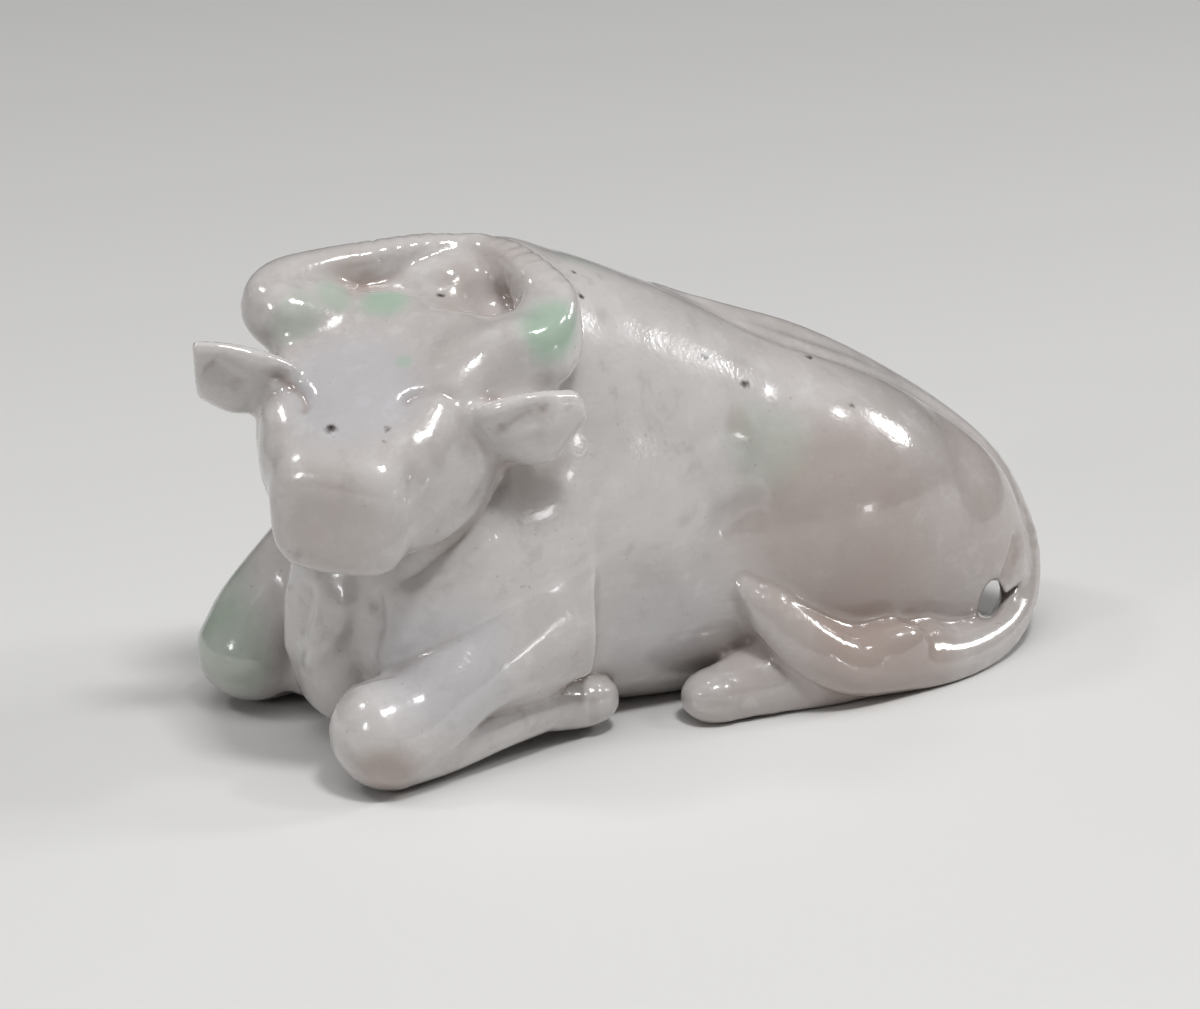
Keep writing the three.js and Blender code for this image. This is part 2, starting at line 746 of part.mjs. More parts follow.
function quadricError(q, [x, y, z]) {
  const squares = q[0] * x * x + q[4] * y * y + q[7] * z * z;
  const products = q[1] * x * y + q[2] * x * z + q[5] * y * z;
  const linear = q[3] * x + q[6] * y + q[8] * z;
  return max(squares + 2 * (products + linear) + q[9], 0);
}

// The place for the vertex that an edge shrinks to. A vertex of the underside stays in the underside.
function bestPoint(q, a, b) {
  if ((a[2] === 0) !== (b[2] === 0)) {
    const p = a[2] === 0 ? a : b;
    return { p, cost: quadricError(q, p) };
  }
  const middle = blendVectors(a, 0.5, b, 0.5);
  const choices = [a, b, middle];
  const matrix = new THREE.Matrix3().set(q[0], q[1], q[2], q[1], q[4], q[5], q[2], q[5], q[7]);
  const scale = q[0] + q[4] + q[7];
  if (abs(matrix.determinant()) > LEAST_SPREAD * scale ** 3) {
    const p = new THREE.Vector3(-q[3], -q[6], -q[8]).applyMatrix3(matrix.invert()).toArray();
    if (a[2] === 0) p[2] = 0;
    if (size(minus(p, middle)) < 2 * size(minus(a, b))) choices.push(p);
  }
  const costs = choices.map((p) => quadricError(q, p));
  const least = costs.indexOf(min(...costs));
  return { p: choices[least], cost: costs[least] };
}

function thinSurface({ vertices, triangles }, target) {
  const faces = triangles.map((t) => t.slice());
  const alive = faces.map(() => true);
  const around = vertices.map(() => new Set());
  const quadrics = vertices.map(() => new Array(10).fill(0));
  const stamp = vertices.map(() => 0);
  const heap = new Heap();
  const sum = (p, q) => p.map((v, i) => v + q[i]);

  faces.forEach((t, f) => {
    const q = planeQuadric(facePlane(vertices, t));
    t.forEach((v) => {
      around[v].add(f);
      quadrics[v] = sum(quadrics[v], q);
    });
  });

  const neighbours = (v) => {
    const found = new Set([...around[v]].flatMap((f) => faces[f]));
    found.delete(v);
    return found;
  };
  const offer = (a, b) => {
    const { p, cost } = bestPoint(sum(quadrics[a], quadrics[b]), vertices[a], vertices[b]);
    const length = size(minus(vertices[a], vertices[b]));
    heap.push({ a, b, p, cost: cost + LENGTH_COST * length ** 2, stamps: [stamp[a], stamp[b]] });
  };
  const spoils = (f, v, p) => {
    const before = facePlane(vertices, faces[f]);
    const corners = faces[f].map((w) => (w === v ? p : vertices[w]));
    const after = facePlane(corners, [0, 1, 2]);
    const longest = max(...corners.map((c, i) => size(minus(c, corners[(i + 1) % 3]))));
    return dot(before.n, after.n) < LEAST_TURN || after.area < LEAST_FACE * longest ** 2;
  };
  const folds = (v, other, p) => [...around[v]]
    .some((f) => !faces[f].includes(other) && spoils(f, v, p));
  const mayShrink = (a, b, p) => {
    const [na, nb] = [neighbours(a), neighbours(b)];
    const shared = [...na].filter((v) => nb.has(v)).length;
    return shared === 2 && na.size + nb.size >= 7 && !folds(a, b, p) && !folds(b, a, p);
  };
  const shrink = (a, b, p) => {
    vertices[a] = p;
    quadrics[a] = sum(quadrics[a], quadrics[b]);
    let lost = 0;
    for (const f of [...around[b]]) {
      if (faces[f].includes(a)) {
        alive[f] = false;
        lost += 1;
        faces[f].forEach((v) => around[v].delete(f));
      } else {
        faces[f][faces[f].indexOf(b)] = a;
        around[a].add(f);
      }
    }
    stamp[b] = -1;
    stamp[a] += 1;
    neighbours(a).forEach((v) => offer(a, v));
    return lost;
  };

  vertices.forEach((_, v) => {
    neighbours(v).forEach((w) => {
      if (v < w) offer(v, w);
    });
  });
  let count = faces.length;
  while (count > target && heap.items.length > 0) {
    const { a, b, p, stamps } = heap.pop();
    const current = stamp[a] === stamps[0] && stamp[b] === stamps[1];
    if (current && mayShrink(a, b, p)) count -= shrink(a, b, p);
  }
  return { vertices, triangles: faces.filter((_, f) => alive[f]) };
}

// Geometry, centred over the origin
function figureGeometry({ vertices, triangles }) {
  const used = new Map();
  const positions = [];
  const index = triangles.flat().map((v) => {
    if (!used.has(v)) {
      used.set(v, positions.length / 3);
      positions.push(...vertices[v]);
    }
    return used.get(v);
  });
  const geometry = new THREE.BufferGeometry();
  geometry.setAttribute('position', new THREE.Float32BufferAttribute(positions, 3));
  geometry.setIndex(index);
  geometry.computeBoundingBox();
  const { min: low, max: high } = geometry.boundingBox;
  geometry.translate(-(low.x + high.x) / 2, -(low.y + high.y) / 2, 0);
  geometry.computeVertexNormals();
  return geometry;
}

const traced = await cutFlatBelow(traceSurface(sampleForm(wholeForm())));
const thinned = thinSurface(traced, FACETS);
const buffalo = new THREE.Mesh(figureGeometry(thinned), new THREE.MeshStandardMaterial(STONE));
buffalo.name = 'buffalo';

const figure = new THREE.Group();
figure.add(buffalo);

export default figure;
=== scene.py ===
"""A water buffalo at rest, carved from one piece of pale jade, on a plain pale floor.

The carving's classes hold their sizes in millimetres, in the carver's frame: +X runs from head to
tail, -Y is the animal's left side and +Z is up. The finished mesh is in metres, in the CAD frame.
"""

import logging
import math
from abc import ABC, abstractmethod
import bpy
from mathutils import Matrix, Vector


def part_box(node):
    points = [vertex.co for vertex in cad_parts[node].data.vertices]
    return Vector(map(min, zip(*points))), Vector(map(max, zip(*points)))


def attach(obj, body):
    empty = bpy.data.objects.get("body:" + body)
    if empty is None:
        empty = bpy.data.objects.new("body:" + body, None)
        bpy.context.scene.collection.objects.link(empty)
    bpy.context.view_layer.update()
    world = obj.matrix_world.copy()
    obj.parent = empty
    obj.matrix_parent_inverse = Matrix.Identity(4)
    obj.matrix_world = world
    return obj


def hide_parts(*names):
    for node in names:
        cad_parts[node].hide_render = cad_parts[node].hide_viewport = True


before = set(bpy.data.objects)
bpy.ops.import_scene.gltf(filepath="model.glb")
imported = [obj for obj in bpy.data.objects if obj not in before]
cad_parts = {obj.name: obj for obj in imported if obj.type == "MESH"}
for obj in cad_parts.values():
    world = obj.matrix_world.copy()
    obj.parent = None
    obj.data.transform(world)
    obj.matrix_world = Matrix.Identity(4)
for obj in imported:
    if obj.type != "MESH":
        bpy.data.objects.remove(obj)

from concurrent.futures import ThreadPoolExecutor
from dataclasses import dataclass
from enum import Enum

import bpy
import numpy as np
from mathutils import Matrix, Vector

LOG = logging.getLogger("buffalo")
MM = 0.001
NODE = "buffalo"
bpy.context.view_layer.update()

Vec = tuple[float, float, float]
Rows = tuple[tuple[float, ...], ...]
Array = np.ndarray
Socket = bpy.types.NodeSocket
Outputs = bpy.types.NodeOutputs

# Measuring a field, in millimetres
CULL = 6.0  # a mass is passed over where it is farther off than this
FAR = 1e3  # distance where no mass is near
END_SHARE = 0.9  # how far a limb's end stands out, in radii
LEAST_RADIUS = 0.2  # of a limb
SQUARE_REACH = 1.5  # reach of a squarish mass, in radii
LIMB_REACH = 1.2  # reach beyond a limb's curve, in radii
LEAST_LEVEL, LEAST_TOTAL, LEAST_SLOPE = 1e-4, 1e-9, 1e-12  # against division by nothing
GROUND_ROUND = 0.6  # roundness of the edge of the flat underside
BATCH = 40000  # points measured at a time
THREADS = 4

# Moving points onto a surface, in millimetres
REACH = 0.06  # how far from a point its slope is measured
SLOPE_WAYS = ((1, 1, 1), (1, -1, -1), (-1, 1, -1), (-1, -1, 1))
LEAST_STEEP = 0.2  # the square of the slope counts as at least this
MOST_MOVE = 0.5  # in one round
SETTLE_ROUNDS = 2

# Working on the grid and the mesh
PINCH_ROUNDS = 3
HOLLOW_SMOOTHING = 6  # rounds of averaging with the neighbours
LEAST_EDGE = 1e-6

# Pressing in a mark
MARK_SAMPLES = 90  # points along its line
MARK_ROUNDS = 3
MARK_ROOM = 3.0  # how far it reaches, in widths
MARK_FACING = 2.0  # how fast it comes in as the surface turns its way
END_FADE = 6.0  # one over the share of its length that eases in
END_LEAST = 0.15  # depth at its ends


class Side(Enum):
    """Sides of the animal, as the sign of Y."""

    LEFT = -1
    RIGHT = 1


class Mode(Enum):
    """What a step of the carving does with its mass."""

    ADD = "add"
    CUT = "cut"


def placed(name: str, data: bpy.types.ID) -> bpy.types.Object:
    """A new object in the scene, with the data given."""
    made = bpy.data.objects.new(name, data)
    bpy.context.scene.collection.objects.link(made)
    return made


# Fields


def round_distance(offsets: list[Array], radii: list[Array | float], power: float) -> Array:
    """Distance to a round body, from offsets along its axes.

    Args:
        offsets: Offset of each point along each axis.
        radii: Radius along each axis, one number or one for each point.
        power: 2 for an ellipsoid, more for a squarer body.

    Returns:
        Signed distance of each point, to first order.
    """
    shares = [np.abs(o / r) for o, r in zip(offsets, radii)]
    steep = shares if power == 2 else [s ** (power - 1) for s in shares]
    total = np.maximum(sum(s * t for s, t in zip(shares, steep)), LEAST_TOTAL)
    level = np.sqrt(total) if power == 2 else total ** (1 / power)
    slope = np.sqrt(np.maximum(sum((t / r) ** 2 for t, r in zip(steep, radii)), LEAST_SLOPE))
    floor = np.maximum(level, LEAST_LEVEL)
    scale = floor if power == 2 else floor ** (power - 1)
    return (level - 1) * scale / slope


def soft_min(a: Array, b: Array, soft: float) -> Array:
    """The lesser of two fields, with a rounded valley of the given width between them."""
    if soft <= 0:
        return np.minimum(a, b)
    h = np.clip(0.5 + 0.5 * (b - a) / soft, 0, 1)
    return b * (1 - h) + a * h - soft * h * (1 - h)


def soft_max(a: Array, b: Array, soft: float) -> Array:
    """The greater of two fields, with a rounded edge of the given width between them."""
    return -soft_min(-a, -b, soft)


def unit(v: Array) -> Array:
    """The vector, or each row, at length one."""
    return v / np.maximum(np.linalg.norm(v, axis=-1, keepdims=True), LEAST_SLOPE)


def inside_box(points: Array, corners: Array, room: float) -> Array:
    """The numbers of the points inside the corners' box, widened by the room."""
    low, high = corners.min(0) - room, corners.max(0) + room
    return np.flatnonzero(((points > low) & (points < high)).all(1))


def smooth_rows(rows: Rows | Array, count: int) -> Array:
    """Smooth curve through rows of numbers.

    Args:
        rows: The rows that the curve passes through.
        count: How many rows to return.

    Returns:
        An array of count rows, both ends included.
    """
    p = np.array(rows, float)
    p = np.vstack([2 * p[0] - p[1], p, 2 * p[-1] - p[-2]])
    last = len(rows) - 1
    t = np.linspace(0, last, count)
    i = np.minimum(t.astype(int), last - 1)
    u = (t - i)[:, None]
    a, b, c, d = p[i], p[i + 1], p[i + 2], p[i + 3]
    bend = 2 * a - 5 * b + 4 * c - d
    twist = 3 * b - a - 3 * c + d
    return 0.5 * (2 * b + (c - a) * u + bend * u**2 + twist * u**3)


@dataclass(frozen=True)
class Axes:
    """A frame: an origin and three axes, as the columns of a matrix."""

    origin: Array
    columns: Array

    @classmethod
    def tilted(cls, origin: Vec, tilt: float = 0.0) -> "Axes":
        """A frame along X, Y and Z whose X end dips by the tilt, in degrees."""
        t = math.radians(tilt)
        ahead = (math.cos(t), 0.0, -math.sin(t))
        above = (math.sin(t), 0.0, math.cos(t))
        return cls(np.array(origin, float), np.column_stack([ahead, (0.0, 1.0, 0.0), above]))

    @classmethod
    def turned(cls, origin: Vec, yaw: float, pitch: float, roll: float) -> "Axes":
        """A frame facing -X, turned towards -Y, with its nose and its left side dipped.

        Args:
            origin: The frame's origin.
            yaw: Turn towards the animal's left, in degrees.
            pitch: Dip of the nose, in degrees.
            roll: Dip of the left side, in degrees.

        Returns:
            A frame whose axes point forward, to the animal's left and to the crown.
        """
        y, p, r = (math.radians(v) for v in (yaw, pitch, roll))
        level = np.array([-math.cos(y), -math.sin(y), 0.0])
        left = np.array([math.sin(y), -math.cos(y), 0.0])
        up = np.array([0.0, 0.0, 1.0])
        ahead = level * math.cos(p) - up * math.sin(p)
        crown = level * math.sin(p) + up * math.cos(p)
        side = left * math.cos(r) - crown * math.sin(r)
        above = left * math.sin(r) + crown * math.cos(r)
        return cls(np.array(origin, float), np.column_stack([ahead, side, above]))

    def at(self, place: Vec) -> Array:
        """A place in this frame, in the carver's frame."""
        return self.origin + self.columns @ np.array(place, float)

    def within(self, place: Vec) -> "Axes":
        """The same axes at another place of this frame."""
        return Axes(self.at(place), self.columns)

    def offsets(self, points: Array) -> list[Array]:
        """Offset of each point along each axis."""
        return list(((points - self.origin) @ self.columns).T)


class Mass(ABC):
    """A body of stone, with a centre and a reach beyond which it is ignored."""

    centre: Array
    reach: float

    @abstractmethod
    def distance(self, points: Array) -> Array:
        """Signed distance of each point, negative inside."""


class Round(Mass):
    """An ellipsoid, or a squarer body of the same kind."""

    def __init__(self, axes: Axes, radii: Vec, power: float = 2.0) -> None:
        """Keeps the frame, the radii along its axes and the power."""
        self.axes, self.radii, self.power = axes, radii, power
        self.centre = axes.origin
        self.reach = max(radii) * (SQUARE_REACH if power > 2 else 1)

    def distance(self, points: Array) -> Array:
        """Signed distance of each point."""
        d = round_distance(self.axes.offsets(points), list(self.radii), self.power)
        return np.maximum(d, -min(self.radii))


class Block(Mass):
    """A box with rounded edges."""

    def __init__(self, axes: Axes, half: Vec, rounding: float) -> None:
        """Keeps the frame, the half sizes and the radius of the edges."""
        self.axes, self.half, self.rounding = axes, half, rounding
        self.centre = axes.origin
        self.reach = float(np.linalg.norm(half))

    def distance(self, points: Array) -> Array:
        """Signed distance of each point."""
        offsets = np.column_stack(self.axes.offsets(points))
        q = np.abs(offsets) - np.array(self.half) + self.rounding
        outside = np.linalg.norm(np.maximum(q, 0), axis=1)
        return outside + np.minimum(q.max(1), 0) - self.rounding


class Limb(Mass):
    """A limb along a smooth curve, with a round section."""

    def __init__(self, rows: Rows, count: int, up: Vec, power: float, axes: Axes | None) -> None:
        """Places the sections along the curve.

        Args:
            rows: x, y, z, radius across and radius along up, from end to end.
            count: Number of sections.
            up: Direction of the second radius.
            power: 2 for a round section, more for a squarer one.
            axes: Frame of the rows, or None for the carver's frame.
        """
        smooth = smooth_rows(rows, count)
        at = smooth[:, :3]
        self.at = at if axes is None else axes.origin + at @ axes.columns.T
        self.wide, self.high = np.maximum(smooth[:, 3:5], LEAST_RADIUS).T
        self.power = power
        here = np.arange(count)
        along = unit(self.at[np.minimum(here + 1, count - 1)] - self.at[np.maximum(here - 1, 0)])
        side = unit(np.cross(along, np.array(up, float)))
        self.sections = np.stack([side, np.cross(side, along), along], axis=1)
        self.run = np.append(0.0, np.linalg.norm(np.diff(self.at, axis=0), axis=1).cumsum())
        self.centre = (self.at.min(0) + self.at.max(0)) / 2
        spread = np.linalg.norm(self.at - self.centre, axis=1).max()
        self.reach = float(spread + LIMB_REACH * max(self.wide.max(), self.high.max()))

    def distance(self, points: Array) -> Array:
        """Signed distance of each point."""
        return self.place(points)[0]

    def place(self, points: Array) -> tuple[Array, Array, Array]:
        """Where each point lies on the limb.

        Args:
            points: Points in the carver's frame.

        Returns:
            Signed distance, length along the curve, and turn about it in radians.
        """
        best = np.full(len(points), FAR, points.dtype)
        run = np.zeros(len(points), points.dtype)
        turn = np.zeros(len(points), points.dtype)
        room = np.maximum(self.wide, self.high) + CULL
        for i in range(len(self.at) - 1):
            ends, most = self.at[i:i + 2], room[i:i + 2].max()
            near = inside_box(points, ends, most)
            if len(near) == 0:
                continue
            step = ends[1] - ends[0]
            offset = points[near] - ends[0]
            u = np.clip(offset @ step / (step @ step), 0, 1)
            offset = offset - u[:, None] * step
            wide = self.wide[i] * (1 - u) + self.wide[i + 1] * u
            high = self.high[i] * (1 - u) + self.high[i + 1] * u
            first = offset @ self.sections[i].T
            second = offset @ self.sections[i + 1].T
            local = first * (1 - u)[:, None] + second * u[:, None]
            least = np.minimum(wide, high)
            d = round_distance(list(local.T), [wide, high, least * END_SHARE], self.power)
            d = np.maximum(d, -least)
            better = d < best[near]
            take = near[better]
            best[take] = d[better]
            run[take] = (self.run[i] * (1 - u) + self.run[i + 1] * u)[better]
            turn[take] = np.arctan2(local[:, 1], local[:, 0])[better]
        return best, run, turn


class CutOff(Mass):
    """A mass cut off by a plane, with a rounded edge."""

    def __init__(self, mass: Mass, point: Array, normal: Array, soft: float) -> None:
        """Keeps the mass and the plane. What lies on the normal's side goes."""
        self.mass, self.soft = mass, soft
        self.normal = unit(np.array(normal, float))
        self.level = float(self.normal @ np.array(point, float))
        self.centre, self.reach = mass.centre, mass.reach

    def distance(self, points: Array) -> Array:
        """Signed distance of each point."""
        return soft_max(self.mass.distance(points), points @ self.normal - self.level, self.soft)


class TrunkMass(Mass):
    """A long body whose section changes smoothly along X."""

    def __init__(self, stations: Rows, power: float, end: float, ease: float) -> None:
        """Fits the curves through the stations.

        Args:
            stations: x, centre y, centre z, half width, height above, depth below.
            power: 2 for a round section, more for a squarer one.
            end: Rounding of the two ends.
            ease: Factor on the distance, for the section's change along X.
        """
        s = np.array(stations, float)
        self.x, self.values = s[:, 0], s[:, 1:]
        self.power, self.end, self.ease = power, end, ease
        here = np.arange(len(s))
        a, b = np.maximum(here - 1, 0), np.minimum(here + 1, len(s) - 1)
        self.slopes = (self.values[b] - self.values[a]) / (self.x[b] - self.x[a])[:, None]
        self.centre = np.array([(self.x[0] + self.x[-1]) / 2, 0.0, self.values[2, 1]])
        self.reach = float(self.x[-1] - self.x[0])

    def distance(self, points: Array) -> Array:
        """Signed distance of each point."""
        x = points[:, 0]
        inside = np.clip(x, self.x[0], self.x[-1] - LEAST_LEVEL)
        i = np.searchsorted(self.x, inside, side="right") - 1
        step = (self.x[i + 1] - self.x[i])[:, None]
        u = ((inside - self.x[i]) / step[:, 0])[:, None]
        s, e = self.values[i], self.values[i + 1]
        m, n = self.slopes[i] * step, self.slopes[i + 1] * step
        value = s + u * (m + u * (3 * (e - s) - 2 * m - n + u * (2 * (s - e) + m + n)))
        middle_y, middle_z, wide, above, below = value.T
        rise = points[:, 2] - middle_z
        high = np.where(rise > 0, above, below)
        d = round_distance([points[:, 1] - middle_y, rise], [wide, high], self.power)
        d = np.maximum(d, -np.minimum(wide, high)) * self.ease
        return soft_max(d, np.maximum(self.x[0] - x, x - self.x[-1]), self.end)


@dataclass(frozen=True)
class Step:
    """One step of the carving: a mass, how soft its edge is, and whether it is added or cut."""

    mass: Mass
    soft: float = 0.0
    mode: Mode = Mode.ADD


class Group(Mass):
    """Several steps as one mass."""

    def __init__(self, steps: list[Step]) -> None:
        """Keeps the steps, in order."""
        self.steps = steps
        centres = np.array([s.mass.centre for s in steps])
        self.centre = (centres.min(0) + centres.max(0)) / 2
        away = np.linalg.norm(centres - self.centre, axis=1)
        self.reach = float(max(d + s.mass.reach for d, s in zip(away, steps)))

    def distance(self, points: Array) -> Array:
        """Signed distance of each point."""
        d = np.full(len(points), FAR, points.dtype)
        for step in self.steps:
            mass = step.mass
            off = points - mass.centre
            far = mass.reach + step.soft + CULL
            near = np.flatnonzero((off * off).sum(1) < far * far)
            if len(near) == 0:
                continue
            e = mass.distance(points[near])
            if step.mode is Mode.ADD:
                d[near] = soft_min(d[near], e, step.soft)
            else:
                d[near] = soft_max(d[near], -e, step.soft)
        return d


@dataclass(frozen=True)
class Lump:
    """A rounded mass of the body, given on the right side or on the middle line.

    It holds its place and radii, the dip of its rear end in degrees, the power of its section, and
    how soft its edge is where it meets the rest.
    """

    at: Vec
    radii: Vec
    tilt: float = 0.0
    power: float = 2.0
    soft: float = 0.0

    def mass(self, side: Side = Side.RIGHT) -> Round:
        """The mass, on one side of the animal."""
        x, y, z = self.at
        return Round(Axes.tilted((x, side.value * y, z), self.tilt), self.radii, self.power)

    def step(self, side: Side = Side.RIGHT, mode: Mode = Mode.ADD) -> Step:
        """The mass as a step of the carving."""
        return Step(self.mass(side), self.soft, mode)


@dataclass(frozen=True)
class Run:
    """A limb of the body: its rows, how many sections it gets, and how soft its edge is."""

    rows: Rows
    count: int
    soft: float = 0.0
    up: Vec = (0, 0, 1)
    power: float = 2.0

    def mass(self, axes: Axes | None = None) -> Limb:
        """The limb."""
        return Limb(self.rows, self.count, self.up, self.power, axes)

    def step(self, mode: Mode = Mode.ADD, axes: Axes | None = None) -> Step:
        """The limb as a step of the carving."""
        return Step(self.mass(axes), self.soft, mode)


def on_side(rows: Rows, side: Side) -> Rows:
    """Rows that are given on the right side, on the side asked for."""
    return tuple((x, side.value * y, *rest) for x, y, *rest in rows)


@dataclass(frozen=True)
class Plane:
    """A plane that ends a mass: a point, the way it faces, and the roundness of the edge it leaves."""

    at: Vec
    facing: Vec
    soft: float

    def end(self, mass: Mass, side: Side = Side.RIGHT) -> CutOff:
        """The mass, ended by the plane on one side of the animal."""
        flip = np.array([1, side.value, 1])
        return CutOff(mass, flip * self.at, flip * self.facing, self.soft)


# Sub-assemblies of the carving


@dataclass(frozen=True)
class Barrel:
    """The trunk, from the chest to the rump, with the hollows of its flanks."""

    stations: Rows = (
        (-44, 1, 22, 11, 14, 18),
        (-34, 0, 24, 17, 26, 24.5),
        (-22, 0, 28, 18.8, 32.8, 29),
        (-12, 0, 28, 18.2, 30.4, 28.8),
        (0, 0, 26, 18, 26.8, 28.2),
        (10, 0, 23.5, 18.6, 24.2, 25.8),
        (20, -0.5, 20.5, 19.6, 22.9, 23),
        (30, -1, 17, 19, 21.6, 19),
        (40, -1.5, 13, 17, 18.8, 14),
        (48, -2, 9.5, 13, 15.4, 8.8),
        (53, -3, 7, 7.5, 9.5, 6),
    )
    power: float = 2.1
    end: float = 4.0
    ease: float = 0.93
    haunch: Lump = Lump((20, 9.4, 21), (20, 13.5, 18), 18, soft=2.5)
    hip: Lump = Lump((18, -9, 32.6), (10, 8, 7.5), 26, soft=4)
    rump: Lump = Lump((38.5, -8, 16.5), (9, 9, 9), soft=4)
    chest: Lump = Lump((-40.2, 0.5, 15.3), (8.6, 8, 13.2), power=2.8, soft=2.5)
    hollows: tuple[Lump, ...] = (
        Lump((1.2, 22.4, 26), (6.2, 5.4, 17), 10, soft=3.5),
        Lump((-11, 22.4, 11), (9, 6.2, 13), soft=3.5),
    )

    def steps(self) -> list[Step]:
        """The trunk, haunches, hip, rump and chest."""
        trunk = Step(TrunkMass(self.stations, self.power, self.end, self.ease))
        haunches = [self.haunch.step(side) for side in Side]
        return [trunk, *haunches, self.hip.step(), self.rump.step(), self.chest.step()]

    def flank_steps(self) -> list[Step]:
        """The hollows between ribs and haunches."""
        return [lump.step(side, Mode.CUT) for lump in self.hollows for side in Side]


@dataclass(frozen=True)
class Neck:
    """The neck, its crest and the mound between the horns."""

    neck: Run = Run(((-40, -5, 44, 10, 10), (-32, -2, 43, 12, 12.5), (-20, 0, 38, 14, 16)), 16, 5)
    crest: Lump = Lump((-30, 1, 46.5), (13, 12, 11.5), soft=3)
    nape: Run = Run(
        ((-38, -1.5, 50.5, 6.4, 7), (-31, -1, 53.8, 4.6, 6), (-24.5, -0.5, 56, 3.2, 5)), 14, 2
    )
    fill: Lump = Lump((-38, 3, 50.6), (9.5, 8, 7.6), soft=2)
    hollow: Lump = Lump((-25.6, 7.8, 57.6), (3.6, 3.2, 3.4), soft=1.6)

    def steps(self) -> list[Step]:
        """The neck, from the inside out."""
        parts = (self.neck, self.crest, self.nape, self.fill)
        return [part.step() for part in parts] + [self.hollow.step(Side.LEFT, Mode.CUT)]


@dataclass(frozen=True)
class Forequarters:
    """Shoulders and folded forelegs."""

    shoulder: Lump = Lump((-29, 9.6, 22.5), (14.4, 10.8, 19), 10, 2.7, 1.6)
    edge: Plane = Plane((-18.7, 20, 18), (1, 0.2, 0.05), 0.8)
    left_forearm: Run = Run((
        (-46.4, -16.6, 7.2, 6.9, 7),
        (-41.5, -17.2, 9, 6.2, 6),
        (-36, -17.4, 12.6, 6, 5.6),
        (-29, -17, 15.2, 5.6, 6.4),
        (-22, -16.4, 16.6, 5.2, 7.4),
        (-15, -16, 17, 5, 7.6),
    ), 36, 2.4)
    right_forearm: Run = Run((
        (-47.8, 16.3, 7, 6.8, 6.8),
        (-45.2, 16.6, 11.5, 6.2, 6.4),
        (-38, 15.5, 17, 7, 8),
        (-31, 13, 23, 8, 9),
    ), 36, 2)
    left_knee: Rows = ((-45, 17.2, 4.6, 4.5, 4.5),)
    right_knee: Rows = ((-46, 16.8, 4.6, 4.5, 4.5),)
    cannon: Rows = ((-38, 16.6, 4.4, 3.9, 3.9), (-30, 15.6, 5.2, 3.6, 3.6), (-22, 14, 5.4, 3.4, 3.4))
    cannon_count: int = 24
    hoof: Lump = Lump((-16.8, 12.9, 4.3), (5.2, 3.8, 3.3), power=2.3, soft=2.4)
    leg_soft: float = 0.5
    fill: Lump = Lump((-37, 11.5, 5.5), (9, 5, 5), soft=1.5)

    def lower_leg(self, side: Side) -> Step:
        """The cannon and hoof of one side."""
        knee = self.left_knee if side is Side.LEFT else self.right_knee
        cannon = Run(on_side(knee + self.cannon, side), self.cannon_count)
        return Step(Group([cannon.step(), self.hoof.step(side)]), self.leg_soft)

    def steps(self) -> list[Step]:
        """Shoulders, forearms, cannons and hooves."""
        shoulder, left = self.shoulder, self.left_forearm
        return [
            *(Step(self.edge.end(shoulder.mass(side), side), shoulder.soft) for side in Side),
            Step(self.edge.end(left.mass(), Side.LEFT), left.soft),
            self.right_forearm.step(),
            *(self.lower_leg(side) for side in Side),
            self.fill.step(),
        ]


@dataclass(frozen=True)
class HindFeet:
    """The feet that show under the haunches."""

    shank: Rows = ((30, 17, 4, 5, 4), (18, 18.6, 3.2, 4.2, 4.6), (8, 18.1, 3.2, 3.7, 3.8))
    shank_count: int = 12
    hoof: Lump = Lump((1.6, 17.6, 3.2), (5.8, 3.9, 3.5), power=2.3, soft=3)
    fill: Lump = Lump((11, 16.8, 4.8), (8.5, 4.6, 4.4), soft=2)
    soft: float = 1.0

    def foot(self, side: Side) -> Group:
        """The shank and hoof of one side."""
        shank = Run(on_side(self.shank, side), self.shank_count)
        return Group([shank.step(), self.fill.step(side), self.hoof.step(side)])

    def steps(self) -> list[Step]:
        """Both hind feet."""
        return [Step(self.foot(side), self.soft) for side in Side]


